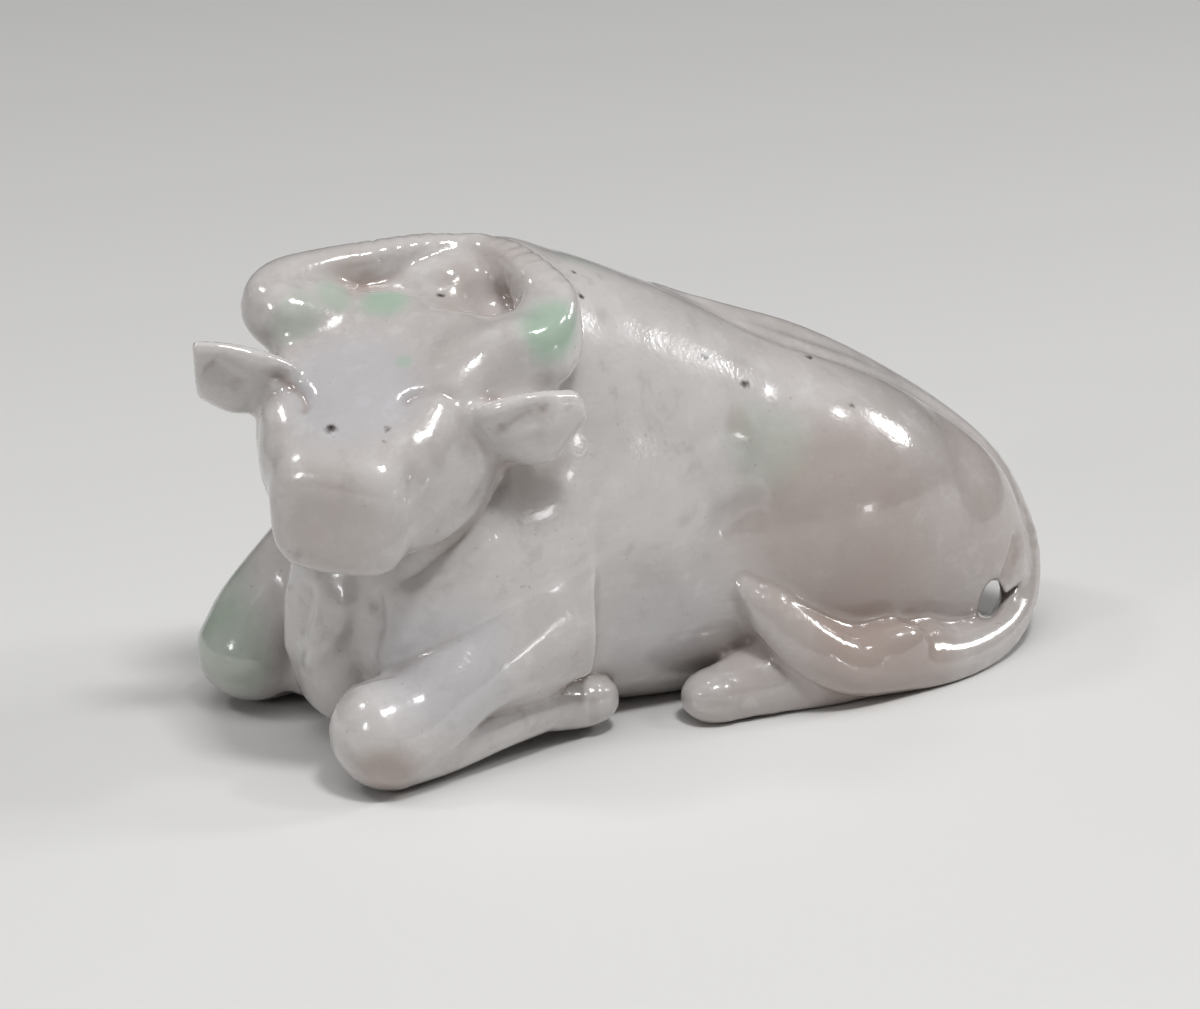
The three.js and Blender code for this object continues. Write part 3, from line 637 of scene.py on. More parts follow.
@dataclass(frozen=True)
class Head:
    """The head, with its broad brow, cheeks and blunt muzzle, in a frame of its own.

    The frame's axes point forward, to the animal's left and to the crown.
    """

    brow: Vec = (-47.5, -13, 49)
    yaw: float = 44.0
    pitch: float = 30.0
    roll: float = 3.0
    skull: Lump = Lump((-6, 0.9, -11.4), (13.2, 15.2, 10.8), power=2.8)
    forehead_at: Vec = (-8.8, 0.2, -6)
    forehead_half: Vec = (8.8, 12.6, 6.2)
    forehead_round: float = 3.4
    forehead_soft: float = 2.0
    cheeks: Lump = Lump((-0.5, 1.5, -11.2), (11.8, 12.9, 7.6), power=2.6, soft=2)
    nose: Lump = Lump((4.6, 0.4, -8), (13.6, 9, 7.3), power=3, soft=3)
    muzzle: Lump = Lump((8.5, 0.3, -7.2), (12, 7.9, 6.6), power=4, soft=1.4)
    muzzle_end: Vec = (12.3, 0, -3)
    muzzle_facing: Vec = (0.9, 0, 0.39)
    muzzle_round: float = 3.2
    lumps: tuple[Lump, ...] = (
        Lump((1.2, 0.3, -6.8), (9.4, 11.8, 5.8), power=2.8, soft=2.5),
        Lump((0.2, 9.3, -3.4), (3.8, 2.8, 2), soft=2),
        Lump((0.2, -8.7, -3.2), (3.8, 2.6, 2), soft=2),
        Lump((-5, 12.2, -3.6), (3.2, 2.4, 2.6), soft=2),
    )
    trench: Run = Run((
        (-20, -8.5, 0.5, 2.4, 2.6),
        (-20.6, 0, 1.2, 2.4, 2.6),
        (-19.4, 8.5, 0.5, 2.4, 2.6),
    ), 14, 2)
    soft: float = 0.8

    @property
    def axes(self) -> Axes:
        """The head's frame, from the brow."""
        return Axes.turned(self.brow, self.yaw, self.pitch, self.roll)

    def part(self, lump: Lump) -> Step:
        """A lump that is placed in the head's frame."""
        return Step(Round(self.axes.within(lump.at), lump.radii, lump.power), lump.soft)

    def ended(self, lump: Lump) -> Step:
        """A lump that is ended by the flat of the muzzle."""
        facing = self.axes.columns @ np.array(self.muzzle_facing)
        mass = CutOff(self.part(lump).mass, self.axes.at(self.muzzle_end), facing, self.muzzle_round)
        return Step(mass, lump.soft)

    def steps(self) -> list[Step]:
        """The head as one mass."""
        forehead = Block(self.axes.within(self.forehead_at), self.forehead_half, self.forehead_round)
        whole = Group([
            self.part(self.skull),
            Step(forehead, self.forehead_soft),
            self.part(self.cheeks),
            self.ended(self.nose),
            self.ended(self.muzzle),
            *(self.part(lump) for lump in self.lumps),
        ])
        return [Step(whole, self.soft)]

    def trench_steps(self) -> list[Step]:
        """The trench that parts the poll from the neck."""
        return [self.trench.step(Mode.CUT, self.axes)]


@dataclass(frozen=True)
class Horns:
    """Two horns, swept back until their tips nearly meet over the neck."""

    left: Run = Run((
        (-31.2, -12.4, 50.4, 4.2, 4.2),
        (-27, -15, 52.2, 4.7, 4.7),
        (-24.2, -16.2, 52.8, 4.6, 4.6),
        (-21.4, -14, 56.2, 3.6, 3.6),
        (-21.4, -9.4, 58.9, 2.7, 2.7),
        (-21.8, -4.4, 60.2, 2.1, 2.1),
        (-23, -0.4, 60.9, 1.3, 1.3),
    ), 34, 2, power=2.8)
    right: Run = Run((
        (-44.6, 2.2, 53.4, 4.6, 4.6),
        (-47.5, 3.6, 54.7, 4.6, 4.6),
        (-48.7, 5.3, 56.2, 4, 4),
        (-46.5, 6.4, 57.9, 3.3, 3.3),
        (-41.8, 5.8, 59.1, 2.7, 2.7),
        (-36.7, 4.4, 59.9, 2.4, 2.4),
        (-29.7, 3, 60.6, 2, 2),
        (-24.5, 1.2, 61, 1.3, 1.3),
    ), 34, 2, power=2.3)
    left_root: Lump = Lump((-30.6, 15, 50.4), (6.2, 4.2, 4.2), soft=3)
    right_root: Lump = Lump((-43.8, 3, 56), (4, 3.4, 2.8), soft=2)

    def steps(self) -> list[Step]:
        """Both horns."""
        roots = [self.left_root.step(Side.LEFT), self.right_root.step()]
        return roots + [self.right.step(), self.left.step()]


@dataclass(frozen=True)
class Ears:
    """Two leaf-shaped ears under the horns."""

    left: Run = Run((
        (-32.8, -15.6, 43, 4.2, 1.8),
        (-31, -20.8, 44.2, 6.3, 2.4),
        (-28.4, -24, 45.8, 5.8, 2.4),
        (-24.4, -25, 47.6, 3, 1.6),
    ), 20, 1.4, (0.3, 0.9, 0.5))
    right: Run = Run((
        (-52, -2.2, 48.2, 5, 2),
        (-55.8, -1.6, 49.3, 6.3, 2.2),
        (-59.2, -0.4, 50.8, 5.8, 1.9),
        (-63.2, 1, 52.2, 4.6, 1.3),
    ), 16, 1.4, (0.6, 0.6, 0.5))
    right_end: Plane = Plane((-62, 0.5, 52), (-0.87, 0.5, 0), 0.8)
    left_fill: Lump = Lump((-28.4, 14.6, 46.4), (6.6, 6.8, 4.4), soft=1.5)

    def fill_steps(self) -> list[Step]:
        """The stone left between the left ear, the horn and the neck."""
        return [self.left_fill.step(Side.LEFT)]

    def steps(self) -> list[Step]:
        """Both ears."""
        return [Step(self.right_end.end(self.right.mass()), self.right.soft), self.left.step()]


@dataclass(frozen=True)
class Tail:
    """The tail: a band down the spine, round the rump and along the left haunch to a tuft."""

    band: Run = Run((
        (2, 0.4, 50.6, 0.9, 0.9),
        (12, 0.2, 46, 1.6, 1.6),
        (22, -0.2, 41.2, 2.6, 2.2),
        (33, -1, 34.1, 3.4, 2.6),
        (42, -2.2, 27.3, 3.7, 2.8),
        (49.2, -4.6, 20, 3.4, 2.7),
        (51.4, -8.5, 11.8, 2.7, 2.6),
        (49.6, -12, 5.9, 2.6, 2.6),
        (43.6, -16, 2.8, 3, 3),
        (34.9, -19.5, 2.2, 3.2, 3.4),
        (25.2, -21.5, 3.8, 3.2, 3.6),
        (17, -22.4, 5.6, 3, 3.8),
        (10.8, -21.8, 9.4, 2.6, 3.6),
        (6.4, -19.6, 14, 1.8, 2.4),
        (3.9, -17.8, 17.2, 0.6, 0.8),
    ), 56, 1.5, (0, 0.3, 1))
    bed: Run = Run((
        (37, -14.6, 2.8, 3.4, 3.4),
        (26, -17.6, 4.6, 4.2, 4.2),
        (14, -18, 8, 4.6, 4.6),
        (8, -17.6, 13.5, 3.6, 3.6),
    ), 16, 1.5)
    hollow: Run = Run((
        (48, -12.2, 13.4, 0.6, 0.6),
        (47, -12.6, 10, 1.5, 1.5),
        (45, -13.5, 6.6, 2.2, 2.2),
        (40, -17.5, 5, 0.8, 0.8),
    ), 16, 1)
    knob: Lump = Lump((23.8, -22.4, 7.4), (3.6, 1.6, 2), soft=3)
    gap: Run = Run((
        (33.5, -31.7, 14.1, 1.4, 2.5),
        (44.3, -13, 6.3, 1.4, 2.5),
        (56.5, 6, -1, 1.9, 3.2),
    ), 6, 0.8, (0.3, 0, 1))

    def steps(self) -> list[Step]:
        """The tail, the stone it lies on, and the gap carved through beside it."""
        laid = [part.step() for part in (self.bed, self.band, self.knob)]
        return [self.hollow.step(Mode.CUT), *laid, self.gap.step(Mode.CUT)]


class Form:
    """The whole animal as one field."""

    def __init__(self) -> None:
        """Puts the sub-assemblies together in the order of the carving."""
        self.barrel, self.neck, self.fore = Barrel(), Neck(), Forequarters()
        self.hind, self.head, self.horns = HindFeet(), Head(), Horns()
        self.ears, self.tail = Ears(), Tail()
        self.group = Group(
            self.barrel.steps() + self.neck.steps() + self.barrel.flank_steps()
            + self.fore.steps() + self.hind.steps() + self.head.trench_steps()
            + self.ears.fill_steps() + self.head.steps() + self.horns.steps()
            + self.ears.steps() + self.tail.steps()
        )

    def part_distance(self, points: Array) -> Array:
        """Signed distance of a batch of points, with the underside cut flat."""
        return soft_max(self.group.distance(points), -points[:, 2], GROUND_ROUND)

    def distance(self, points: Array) -> Array:
        """Signed distance of any number of points, on several threads."""
        batches = [points[i:i + BATCH] for i in range(0, len(points), BATCH)]
        with ThreadPoolExecutor(THREADS) as pool:
            return np.concatenate(list(pool.map(self.part_distance, batches)))

    def slope(self, points: Array) -> Array:
        """The field's gradient at each point."""
        total = np.zeros_like(points)
        for corner in SLOPE_WAYS:
            way = np.array(corner, points.dtype)
            total += way * self.distance(points + way * REACH)[:, None]
        return total / (len(SLOPE_WAYS) * REACH)

    def settle(self, points: Array, rounds: int) -> Array:
        """Moves points onto the surface, along the gradient."""
        for _ in range(rounds):
            slope = self.slope(points)
            steep = np.maximum((slope * slope).sum(1), LEAST_STEEP)
            move = (self.distance(points) / steep)[:, None] * slope
            far = np.linalg.norm(move, axis=1, keepdims=True)
            points = points - move * np.minimum(1, MOST_MOVE / np.maximum(far, LEAST_TOTAL))
        points[:, 2] = np.maximum(points[:, 2], 0)
        return points


# Mesh from the field


def graded_lines(stops: tuple[tuple[float, float], ...]) -> Array:
    """Grid lines whose spacing changes along an axis.

    Args:
        stops: Pairs of place and spacing, in order.

    Returns:
        The places of the lines.
    """
    places, spacings = zip(*stops)
    at = places[0]
    lines = [at]
    while at < places[-1]:
        at += float(np.interp(at, places, spacings))
        lines.append(at)
    return np.array(lines)


@dataclass(frozen=True)
class SurfaceNet:
    """Traces a field's surface on a grid that is finer at the head."""

    x_stops: tuple[tuple[float, float], ...] = ((-65.5, 0.5), (-20, 0.5), (-8, 0.78), (56.5, 0.78))
    y_stops: tuple[tuple[float, float], ...] = ((-28, 0.52), (-10, 0.58), (8, 0.62), (24.5, 0.72))
    z_stops: tuple[tuple[float, float], ...] = ((-1.2, 0.6), (24, 0.66), (32, 0.5), (64, 0.48))
    block: int = 8
    safety: float = 1.7

    def sample(self, form: Form) -> tuple[list[Array], Array]:
        """The grid's lines and the field on them. Blocks far from the surface get one value."""
        lines = [graded_lines(s) for s in (self.x_stops, self.y_stops, self.z_stops)]
        counts = [math.ceil(len(a) / self.block) for a in lines]

        def corners(end: int) -> Array:
            """The lowest corner of each block, or the highest for end 1."""
            sides = [
                [a[min((i + end) * self.block, len(a) - 1)] for i in range(n)]
                for a, n in zip(lines, counts)
            ]
            return np.stack(np.meshgrid(*sides, indexing="ij"), -1).reshape(-1, 3)

        low, high = corners(0), corners(1)
        middle = form.distance((low + high) / 2)
        close = np.abs(middle) < np.linalg.norm(high - low, axis=1) / 2 * self.safety
        values = self.spread(middle.reshape(counts), lines)
        block_of = self.spread(np.arange(len(middle)).reshape(counts), lines).ravel()
        nodes = np.flatnonzero(close[block_of])
        nodes = nodes[np.argsort(block_of[nodes], kind="stable")]
        index = np.unravel_index(nodes, values.shape)
        points = np.stack([a[i] for a, i in zip(lines, index)], 1)
        values.ravel()[nodes] = form.distance(points)
        LOG.info("grid %s, %d nodes measured", values.shape, len(nodes))
        return lines, values

    def spread(self, blocks: Array, lines: list[Array]) -> Array:
        """One number for each block, repeated for all the grid nodes of the block."""
        for axis in range(3):
            blocks = np.repeat(blocks, self.block, axis=axis)
        return blocks[tuple(slice(0, len(a)) for a in lines)].copy()

    @staticmethod
    def part_pinches(values: Array) -> None:
        """Turns single grid nodes over where the surface would touch itself along an edge."""
        for axis in list(range(3)) * PINCH_ROUNDS:
            layers = np.moveaxis(values, axis, 0)
            solid = layers < 0
            near, far = solid[:, :-1, :-1], solid[:, 1:, 1:]
            left, right = solid[:, 1:, :-1], solid[:, :-1, 1:]
            for i, j, k in np.argwhere((near == far) & (left == right) & (near != left)):
                square = layers[i, j:j + 2, k:k + 2]
                weakest = np.unravel_index(np.abs(square).argmin(), square.shape)
                square[weakest] = -square[weakest]

    def trace(self, form: Form) -> tuple[Array, Array]:
        """Vertices and four-sided faces of the surface, facing outwards."""
        lines, values = self.sample(form)
        self.part_pinches(values)
        solid = values < 0
        cell_shape = tuple(n - 1 for n in solid.shape)
        corner = [
            solid[i:i + cell_shape[0], j:j + cell_shape[1], k:k + cell_shape[2]]
            for i, j, k in CORNERS
        ]
        held = sum(c.astype(np.int8) for c in corner)
        mixed = (held > 0) & (held < 8)
        cells = np.argwhere(mixed)
        number = np.full(cell_shape, -1, np.int64)
        number[mixed] = np.arange(len(cells))
        at = np.stack([
            np.stack([a[cells[:, n] + c[n]] for n, a in enumerate(lines)], 1) for c in CORNERS
        ])
        depth = np.stack([values[tuple((cells + np.array(c)).T)] for c in CORNERS])
        total = np.zeros((len(cells), 3))
        crossings = np.zeros(len(cells))
        for a, b in CELL_EDGES:
            crosses = (depth[a] < 0) != (depth[b] < 0)
            gap = np.where(crosses, depth[a] - depth[b], 1.0)
            share = np.where(crosses, depth[a] / gap, 0.0)[:, None]
            point = at[a] * (1 - share) + at[b] * share
            total += np.where(crosses[:, None], point, 0.0)
            crossings += crosses
        faces = [self.edge_faces(solid, number, axis) for axis in range(3)]
        return total / crossings[:, None], np.concatenate(faces)

    @staticmethod
    def edge_faces(solid: Array, number: Array, axis: int) -> Array:
        """A face round each grid edge along an axis that crosses the surface."""
        b, c = (axis + 1) % 3, (axis + 2) % 3
        first = solid.take(range(solid.shape[axis] - 1), axis)
        second = solid.take(range(1, solid.shape[axis]), axis)
        where = np.argwhere(first != second)
        where = where[(where[:, b] > 0) & (where[:, c] > 0)]
        where = where[(where[:, b] < number.shape[b]) & (where[:, c] < number.shape[c])]
        step_b, step_c = np.zeros(3, int), np.zeros(3, int)
        step_b[b], step_c[c] = 1, 1
        ring = [where, where - step_b, where - step_b - step_c, where - step_c]
        quads = np.stack([number[tuple(r.T)] for r in ring], 1)
        outward = first[tuple(where.T)]
        quads[~outward] = quads[~outward][:, ::-1]
        return quads


CORNERS = [(i, j, k) for i in (0, 1) for j in (0, 1) for k in (0, 1)]
CELL_EDGES = [
    (a, b) for a in range(8) for b in range(a + 1, 8)
    if sum(p != q for p, q in zip(CORNERS[a], CORNERS[b])) == 1
]


@dataclass(frozen=True)
class SoftBox:
    """A soft box: its direction from the object, distance, width and height in metres, and power."""

    name: str
    way: Vec
    distance: float
    size: tuple[float, float]
    watts: float
    mirrored: bool = True


@dataclass(frozen=True)
class Studio:
    """Floor, lights and camera.

    The camera's numbers are in millimetres, in the carver's frame. The rest are in metres.
    """

    azimuth: float = -30.0
    elevation: float = 20.0
    distance: float = 700.0
    target: Vec = (-8.6, -4.0, 25.9)
    pixels_per_mm: float = 8.0
    frame_width: int = 1200
    sensor: float = 36.0
    clip: tuple[float, float] = (0.01, 20)
    floor_radius: float = 2.5
    floor_steps: int = 96
    floor_colour: Vec = (0.72, 0.715, 0.705)
    floor_roughness: float = 0.85
    aim: Vec = (0, 0, 0.025)
    surround: Vec = (0.8, 0.8, 0.8)
    surround_strength: float = 0.06
    boxes: tuple[SoftBox, ...] = (
        SoftBox("overhead", (-0.05, -0.43, 0.9), 0.9, (0.15, 0.11), 3.2),
        SoftBox("right_side", (0.88, -0.17, 0.45), 0.9, (0.16, 0.12), 1.6),
        SoftBox("right_high", (0.6, -0.42, 0.68), 0.9, (0.1, 0.08), 0.8),
        SoftBox("left_side", (-0.85, -0.25, 0.4), 0.9, (0.08, 0.18), 0.7),
        SoftBox("left_high", (-0.56, 0.25, 0.78), 0.9, (0.12, 0.12), 0.8),
        SoftBox("low_front", (0.5, -0.85, 0.04), 0.9, (0.07, 0.05), 0.15),
        SoftBox("broad_top", (-0.25, -0.1, 0.95), 1.0, (0.7, 0.7), 3.8, False),
    )

    def camera(self, shift: Array) -> None:
        """Makes the camera at the photograph's viewing angle."""
        a, e = math.radians(self.azimuth), math.radians(self.elevation)
        back = Vector((math.sin(a) * math.cos(e), -math.cos(a) * math.cos(e), math.sin(e)))
        right = Vector((math.cos(a), math.sin(a), 0))
        up = back.cross(right)
        eye = (Vector(self.target) + Vector(shift) + back * self.distance) * MM
        data = bpy.data.cameras.new("camera")
        data.sensor_fit = "HORIZONTAL"
        data.sensor_width = self.sensor
        data.lens = self.sensor * self.pixels_per_mm * self.distance / self.frame_width
        data.clip_start, data.clip_end = self.clip
        camera = placed("camera", data)
        camera.matrix_world = Matrix.Translation(eye) @ Matrix((right, up, back)).transposed().to_4x4()
        bpy.context.scene.camera = camera

    def floor(self) -> None:
        """Makes a plain pale floor."""
        turns = (2 * math.pi * i / self.floor_steps for i in range(self.floor_steps))
        ring = [(self.floor_radius * math.cos(t), self.floor_radius * math.sin(t), 0.0) for t in turns]
        mesh = bpy.data.meshes.new("floor")
        mesh.from_pydata(ring, [], [tuple(range(self.floor_steps))])
        material = bpy.data.materials.new("pale_floor")
        material.use_nodes = True
        shader = material.node_tree.nodes["Principled BSDF"]
        shader.inputs["Base Color"].default_value = (*self.floor_colour, 1)
        shader.inputs["Roughness"].default_value = self.floor_roughness
        mesh.materials.append(material)
        floor = placed("floor", mesh)

    def light(self, box: SoftBox) -> None:
        """Makes one soft box that faces the object."""
        data = bpy.data.lights.new(box.name, "AREA")
        data.shape = "RECTANGLE"
        data.size, data.size_y = box.size
        data.energy = box.watts
        light = placed(box.name, data)
        light.visible_glossy = box.mirrored
        place = Vector(box.way).normalized() * box.distance
        turn = (Vector(self.aim) - place).to_track_quat("-Z", "Y").to_matrix().to_4x4()
        light.matrix_world = Matrix.Translation(place) @ turn

    def lights(self) -> None:
        """Makes the soft boxes and the pale surround."""
        for box in self.boxes:
            self.light(box)
        world = bpy.data.worlds.new("surround")
        bpy.context.scene.world = world
        world.use_nodes = True
        background = world.node_tree.nodes["Background"]
        background.inputs["Color"].default_value = (*self.surround, 1)
        background.inputs["Strength"].default_value = self.surround_strength
        world.cycles_visibility.glossy = False


@dataclass(frozen=True)
class Grain:
    """The fineness of a noise: its scale, its levels of detail and their roughness."""

    scale: float
    detail: float
    roughness: float = 0.5


class Nodes:
    """Short ways to add and link the nodes of one tree."""

    def __init__(self, tree: bpy.types.NodeTree) -> None:
        """Keeps the tree."""
        self.tree = tree

    def feed(self, target: Socket, value: object) -> None:
        """Sets an input to a value, or links an output to it."""
        if isinstance(value, Socket):
            self.tree.links.new(value, target)
        elif target.type == "RGBA":
            target.default_value = (*value, 1)
        else:
            target.default_value = value

    def add(
        self, kind: str, inputs: dict[str | int, object] | None = None, **settings: object
    ) -> Outputs:
        """Adds a node.

        Args:
            kind: The kind of node.
            inputs: What each input is fed with, by its name or number.
            settings: The node's other properties.

        Returns:
            The node's outputs.
        """
        node = self.tree.nodes.new(kind)
        for name, value in settings.items():
            setattr(node, name, value)
        for name, value in (inputs or {}).items():
            self.feed(node.inputs[name], value)
        return node.outputs

    def noise(self, vector: Socket, grain: Grain, output: int = 0) -> Socket:
        """Cloudy noise between 0 and 1: its value, or its colour as output 1."""
        given = {"Scale": grain.scale, "Detail": grain.detail, "Roughness": grain.roughness}
        return self.add("ShaderNodeTexNoise", {"Vector": vector, **given})[output]

    def shaken(self, place: Socket, grain: Grain, reach: float) -> Socket:
        """A position moved about by noise, by up to half the reach along each axis."""
        given = {0: self.noise(place, grain, 1), 1: (reach,) * 3, 2: (-reach / 2,) * 3}
        push = self.add("ShaderNodeVectorMath", given, operation="MULTIPLY_ADD")[0]
        return self.add("ShaderNodeVectorMath", {0: place, 1: push}, operation="ADD")[0]

    def ramp(
        self, value: Socket, low: float, high: float | Socket, start: float = 0.0, end: float = 1.0
    ) -> Socket:
        """A value eased from start to end while the input goes from low to high."""
        given = {"Value": value, "From Min": low, "From Max": high, "To Min": start, "To Max": end}
        return self.add("ShaderNodeMapRange", given, interpolation_type="SMOOTHSTEP")["Result"]

    def maths(self, operation: str, a: float | Socket, b: float | Socket = 0.0) -> Socket:
        """One step of arithmetic."""
        return self.add("ShaderNodeMath", {0: a, 1: b}, operation=operation)[0]

    def mix(self, share: Socket, a: Vec | Socket, b: Vec | Socket) -> Socket:
        """A colour between two colours."""
        return self.add("ShaderNodeMix", {0: share, 6: a, 7: b}, data_type="RGBA")[2]


class Ground(Enum):
    """What a veil of colour is laid out on."""

    PLAIN = "plain"
    BROKEN = "broken"
    DRAWN = "drawn"


@dataclass(frozen=True)
class Veil:
    """A cloudy veil of one colour. Its share eases from start to end as the noise goes low to high."""

    tint: Vec
    grain: Grain
    low: float
    high: float
    start: float = 0.0
    end: float = 1.0
    ground: Ground = Ground.BROKEN


@dataclass(frozen=True)
class Patch:
    """A tinted place, in the carver's frame: mostly the stone's own colour, on the muzzle partly painted
    shade.
    """

    at: Vec
    radius: float
    strength: float = 1.0
    edge: float = 0.6


@dataclass(frozen=True)
class Jade:
    """Pale polished jade: cloudy grey-white with brown, lavender and green tints, with painted shade in the
    brown of its hollows and muzzle, and painted light on its ridges.
    """

    pale: Vec = (0.62, 0.595, 0.585)
    grey: Vec = (0.50, 0.465, 0.45)
    brown: Vec = (0.38, 0.30, 0.265)
    lavender: Vec = (0.53, 0.53, 0.57)
    green: Vec = (0.33, 0.48, 0.36)
    white: Vec = (0.70, 0.685, 0.67)
    # Colour of the painted light laid on the ridges.
    light: Vec = (0.72, 0.71, 0.69)
    dark: Vec = (0.42, 0.39, 0.375)
    fleck: Vec = (0.03, 0.022, 0.018)
    warp: Grain = Grain(90, 1)
    warp_reach: float = 0.005
    jag: Grain = Grain(900, 2)
    jag_reach: float = 0.0016
    drawn_out: Vec = (0.4, 0.8, 1.5)
    veils: tuple[Veil, ...] = (
        Veil(grey, Grain(24, 4, 0.6), 0.34, 0.66),
        Veil(white, Grain(260, 3, 0.6), 0.52, 0.72, 0, 0.4),
        Veil(dark, Grain(260, 3, 0.6), 0.28, 0.46, 0.4, 0),
        Veil(brown, Grain(14, 3, 0.6), 0.5, 0.8, 0, 0.35),
        Veil(white, Grain(520, 4, 0.75), 0.5, 0.8, 0, 0.35, Ground.DRAWN),
        Veil(grey, Grain(520, 4, 0.75), 0.25, 0.5, 0.3, 0, Ground.DRAWN),
    )
    specks: Veil = Veil(brown, Grain(1100, 2), 0.71, 0.77, 0, 0.5, Ground.PLAIN)
    # Brown in the hollows: partly the stone's stain, partly painted shade in creases and recesses.
    hollow_stain_and_shade: tuple[float, ...] = (0.08, 0.6, 0, 0.65)
    # Painted light: ridges lightened towards the light colour.
    painted_ridge_light: tuple[float, ...] = (-0.6, -0.1, 0.3, 0)
    smear: Grain = Grain(160, 3)
    roughness: tuple[float, ...] = (0.3, 0.75, 0.13, 0.25)
    wave: Grain = Grain(150, 1, 0.4)
    pits: Grain = Grain(1500, 2)
    pits_share: float = 0.15
    bump_strength: float = 0.35
    bump_height: float = 0.0006
    gloss: tuple[tuple[str, float | Vec], ...] = (
        ("IOR", 1.6),
        ("Subsurface Weight", 0.2),
        ("Subsurface Radius", (1.0, 0.92, 0.85)),
        ("Subsurface Scale", 0.003),
        ("Coat Weight", 0.5),
        ("Coat Roughness", 0.06),
        ("Coat IOR", 1.55),
    )
    green_places: tuple[Patch, ...] = (
        Patch((-49, -1, 56.5), 4, 0.3),
        Patch((-43.6, 0.5, 57.2), 3.6, 0.4),
        Patch((-38.3, -3.1, 57.2), 3.8, 0.65),
        Patch((-24.8, -19, 56.5), 5.6, 0.75),
        Patch((-40.4, -11.2, 52.9), 1.6, 0.45),
        Patch((-10.9, -0.6, 58), 5, 0.2),
        Patch((-53, 12, 9), 8, 0.4),
        Patch((-51, 19, 14), 8, 0.35),
        Patch((8.3, -16.9, 34.8), 7, 0.2),
    )
    brown_places: tuple[Patch, ...] = (
        Patch((-48.4, -21.9, 3.5), 6, 0.75),
        Patch((-27.1, -18.9, 36.2), 7.5, 0.3, 0.9),
        # The muzzle: brown stain, deepened as painted shade on its downward-facing front.
        Patch((-57, -22, 36), 12, 0.65, 1.0),
        Patch((15.6, -21.7, 24), 19, 0.6),
        Patch((40.5, -15, 20), 18, 0.35),
        Patch((22, -24, 8), 17, 0.75),
        Patch((-29.3, -6, 58.5), 5, 0.35),
        Patch((-23.5, -6, 60.5), 8, 0.25, 1.0),
        Patch((46, -15.8, 12.5), 5, 0.5, 1.0),
        Patch((-39, 3, 57), 5, 0.4),
        Patch((5.1, -16.2, 37.1), 3, 0.4),
    )
    lavender_places: tuple[Patch, ...] = (
        Patch((-47, -12, 50), 11, 0.5),
        Patch((-40, -19, 15), 12, 0.4),
        Patch((-6, -18, 12), 12, 0.3),
    )
    fleck_places: tuple[Patch, ...] = (
        Patch((-51.5, -14.6, 46.5), 1.1, 1.0, 0.8),
        Patch((-46, -18.6, 46.5), 0.7, 0.8, 0.8),
        Patch((-47.1, -19.7, 45.5), 0.6, 0.6, 0.8),
        Patch((-30.8, -4.1, 57.1), 0.7, 0.9, 0.8),
        Patch((-14.4, -9.1, 55.8), 0.7, 0.9, 0.8),
        Patch((-13.5, -5.8, 57.6), 0.6, 0.8, 0.8),
        Patch((1.9, -12, 45.8), 0.8, 0.8, 0.8),
        Patch((6.7, -13.4, 42), 0.9, 0.9, 0.8),
        Patch((18.5, -9.2, 42.3), 0.8, 0.9, 0.8),
        Patch((20.5, -16.3, 37.7), 0.6, 0.6, 0.8),
    )

    def tint(
        self, nodes: Nodes, place: Socket, colour: Socket, tint: Vec, where: tuple[Patch, ...], shift: Array
    ) -> Socket:
        """Tints a colour at several places.

        Args:
            nodes: The tree's helper.
            place: Position, broken up by noise.
            colour: The colour so far.
            tint: The colour of the patches.
            where: The patches.
            shift: Move from the carver's frame to the CAD frame, in millimetres.

        Returns:
            The tinted colour.
        """
        for patch in where:
            given = {0: place, 1: tuple((np.array(patch.at) + shift) * MM)}
            gap = nodes.add("ShaderNodeVectorMath", given, operation="DISTANCE")["Value"]
            radius = patch.radius * MM
            share = nodes.ramp(gap, radius * (1 - patch.edge), radius, patch.strength, 0)
            colour = nodes.mix(share, colour, tint)
        return colour

    def lay(self, nodes: Nodes, grounds: dict[Ground, Socket], colour: Vec | Socket, veil: Veil) -> Socket:
        """The colour with a veil laid over it."""
        noise = nodes.noise(grounds[veil.ground], veil.grain)
        return nodes.mix(nodes.ramp(noise, veil.low, veil.high, veil.start, veil.end), colour, veil.tint)

    def colour(self, nodes: Nodes, place: Socket, shift: Array) -> Socket:
        """The stone's colour, with its veils, tinted places and flecks, its hollows darkened with brown
        that is partly stain and partly painted shade, and painted light on its ridges.
        """
        broken = nodes.shaken(place, self.warp, self.warp_reach)
        drawn = nodes.add("ShaderNodeMapping", {"Vector": place, "Scale": self.drawn_out})[0]
        grounds = {Ground.PLAIN: place, Ground.BROKEN: broken, Ground.DRAWN: drawn}
        colour = self.pale
        for veil in self.veils:
            colour = self.lay(nodes, grounds, colour, veil)
        for tint, where in (
            (self.lavender, self.lavender_places),
            (self.brown, self.brown_places),
            (self.green, self.green_places),
        ):
            colour = self.tint(nodes, broken, colour, tint, where, shift)
        hollow = nodes.add("ShaderNodeAttribute", attribute_name="hollow")["Fac"]
        # Hollows darkened with brown: partly stain, partly painted shade.
        colour = nodes.mix(nodes.ramp(hollow, *self.hollow_stain_and_shade), colour, self.brown)
        # Painted light on the ridges.
        colour = nodes.mix(nodes.ramp(hollow, *self.painted_ridge_light), colour, self.light)
        jagged = nodes.shaken(place, self.jag, self.jag_reach)
        colour = self.tint(nodes, jagged, colour, self.fleck, self.fleck_places, shift)
        return self.lay(nodes, grounds, colour, self.specks)

    def bump(self, nodes: Nodes, place: Socket) -> Socket:
        """A normal for the slight waves and pits that polishing leaves."""
        pits = nodes.maths("MULTIPLY", nodes.noise(place, self.pits), self.pits_share)
        height = nodes.maths("ADD", nodes.noise(place, self.wave), pits)
        given = {"Strength": self.bump_strength, "Distance": self.bump_height, "Height": height}
        return nodes.add("ShaderNodeBump", given)["Normal"]

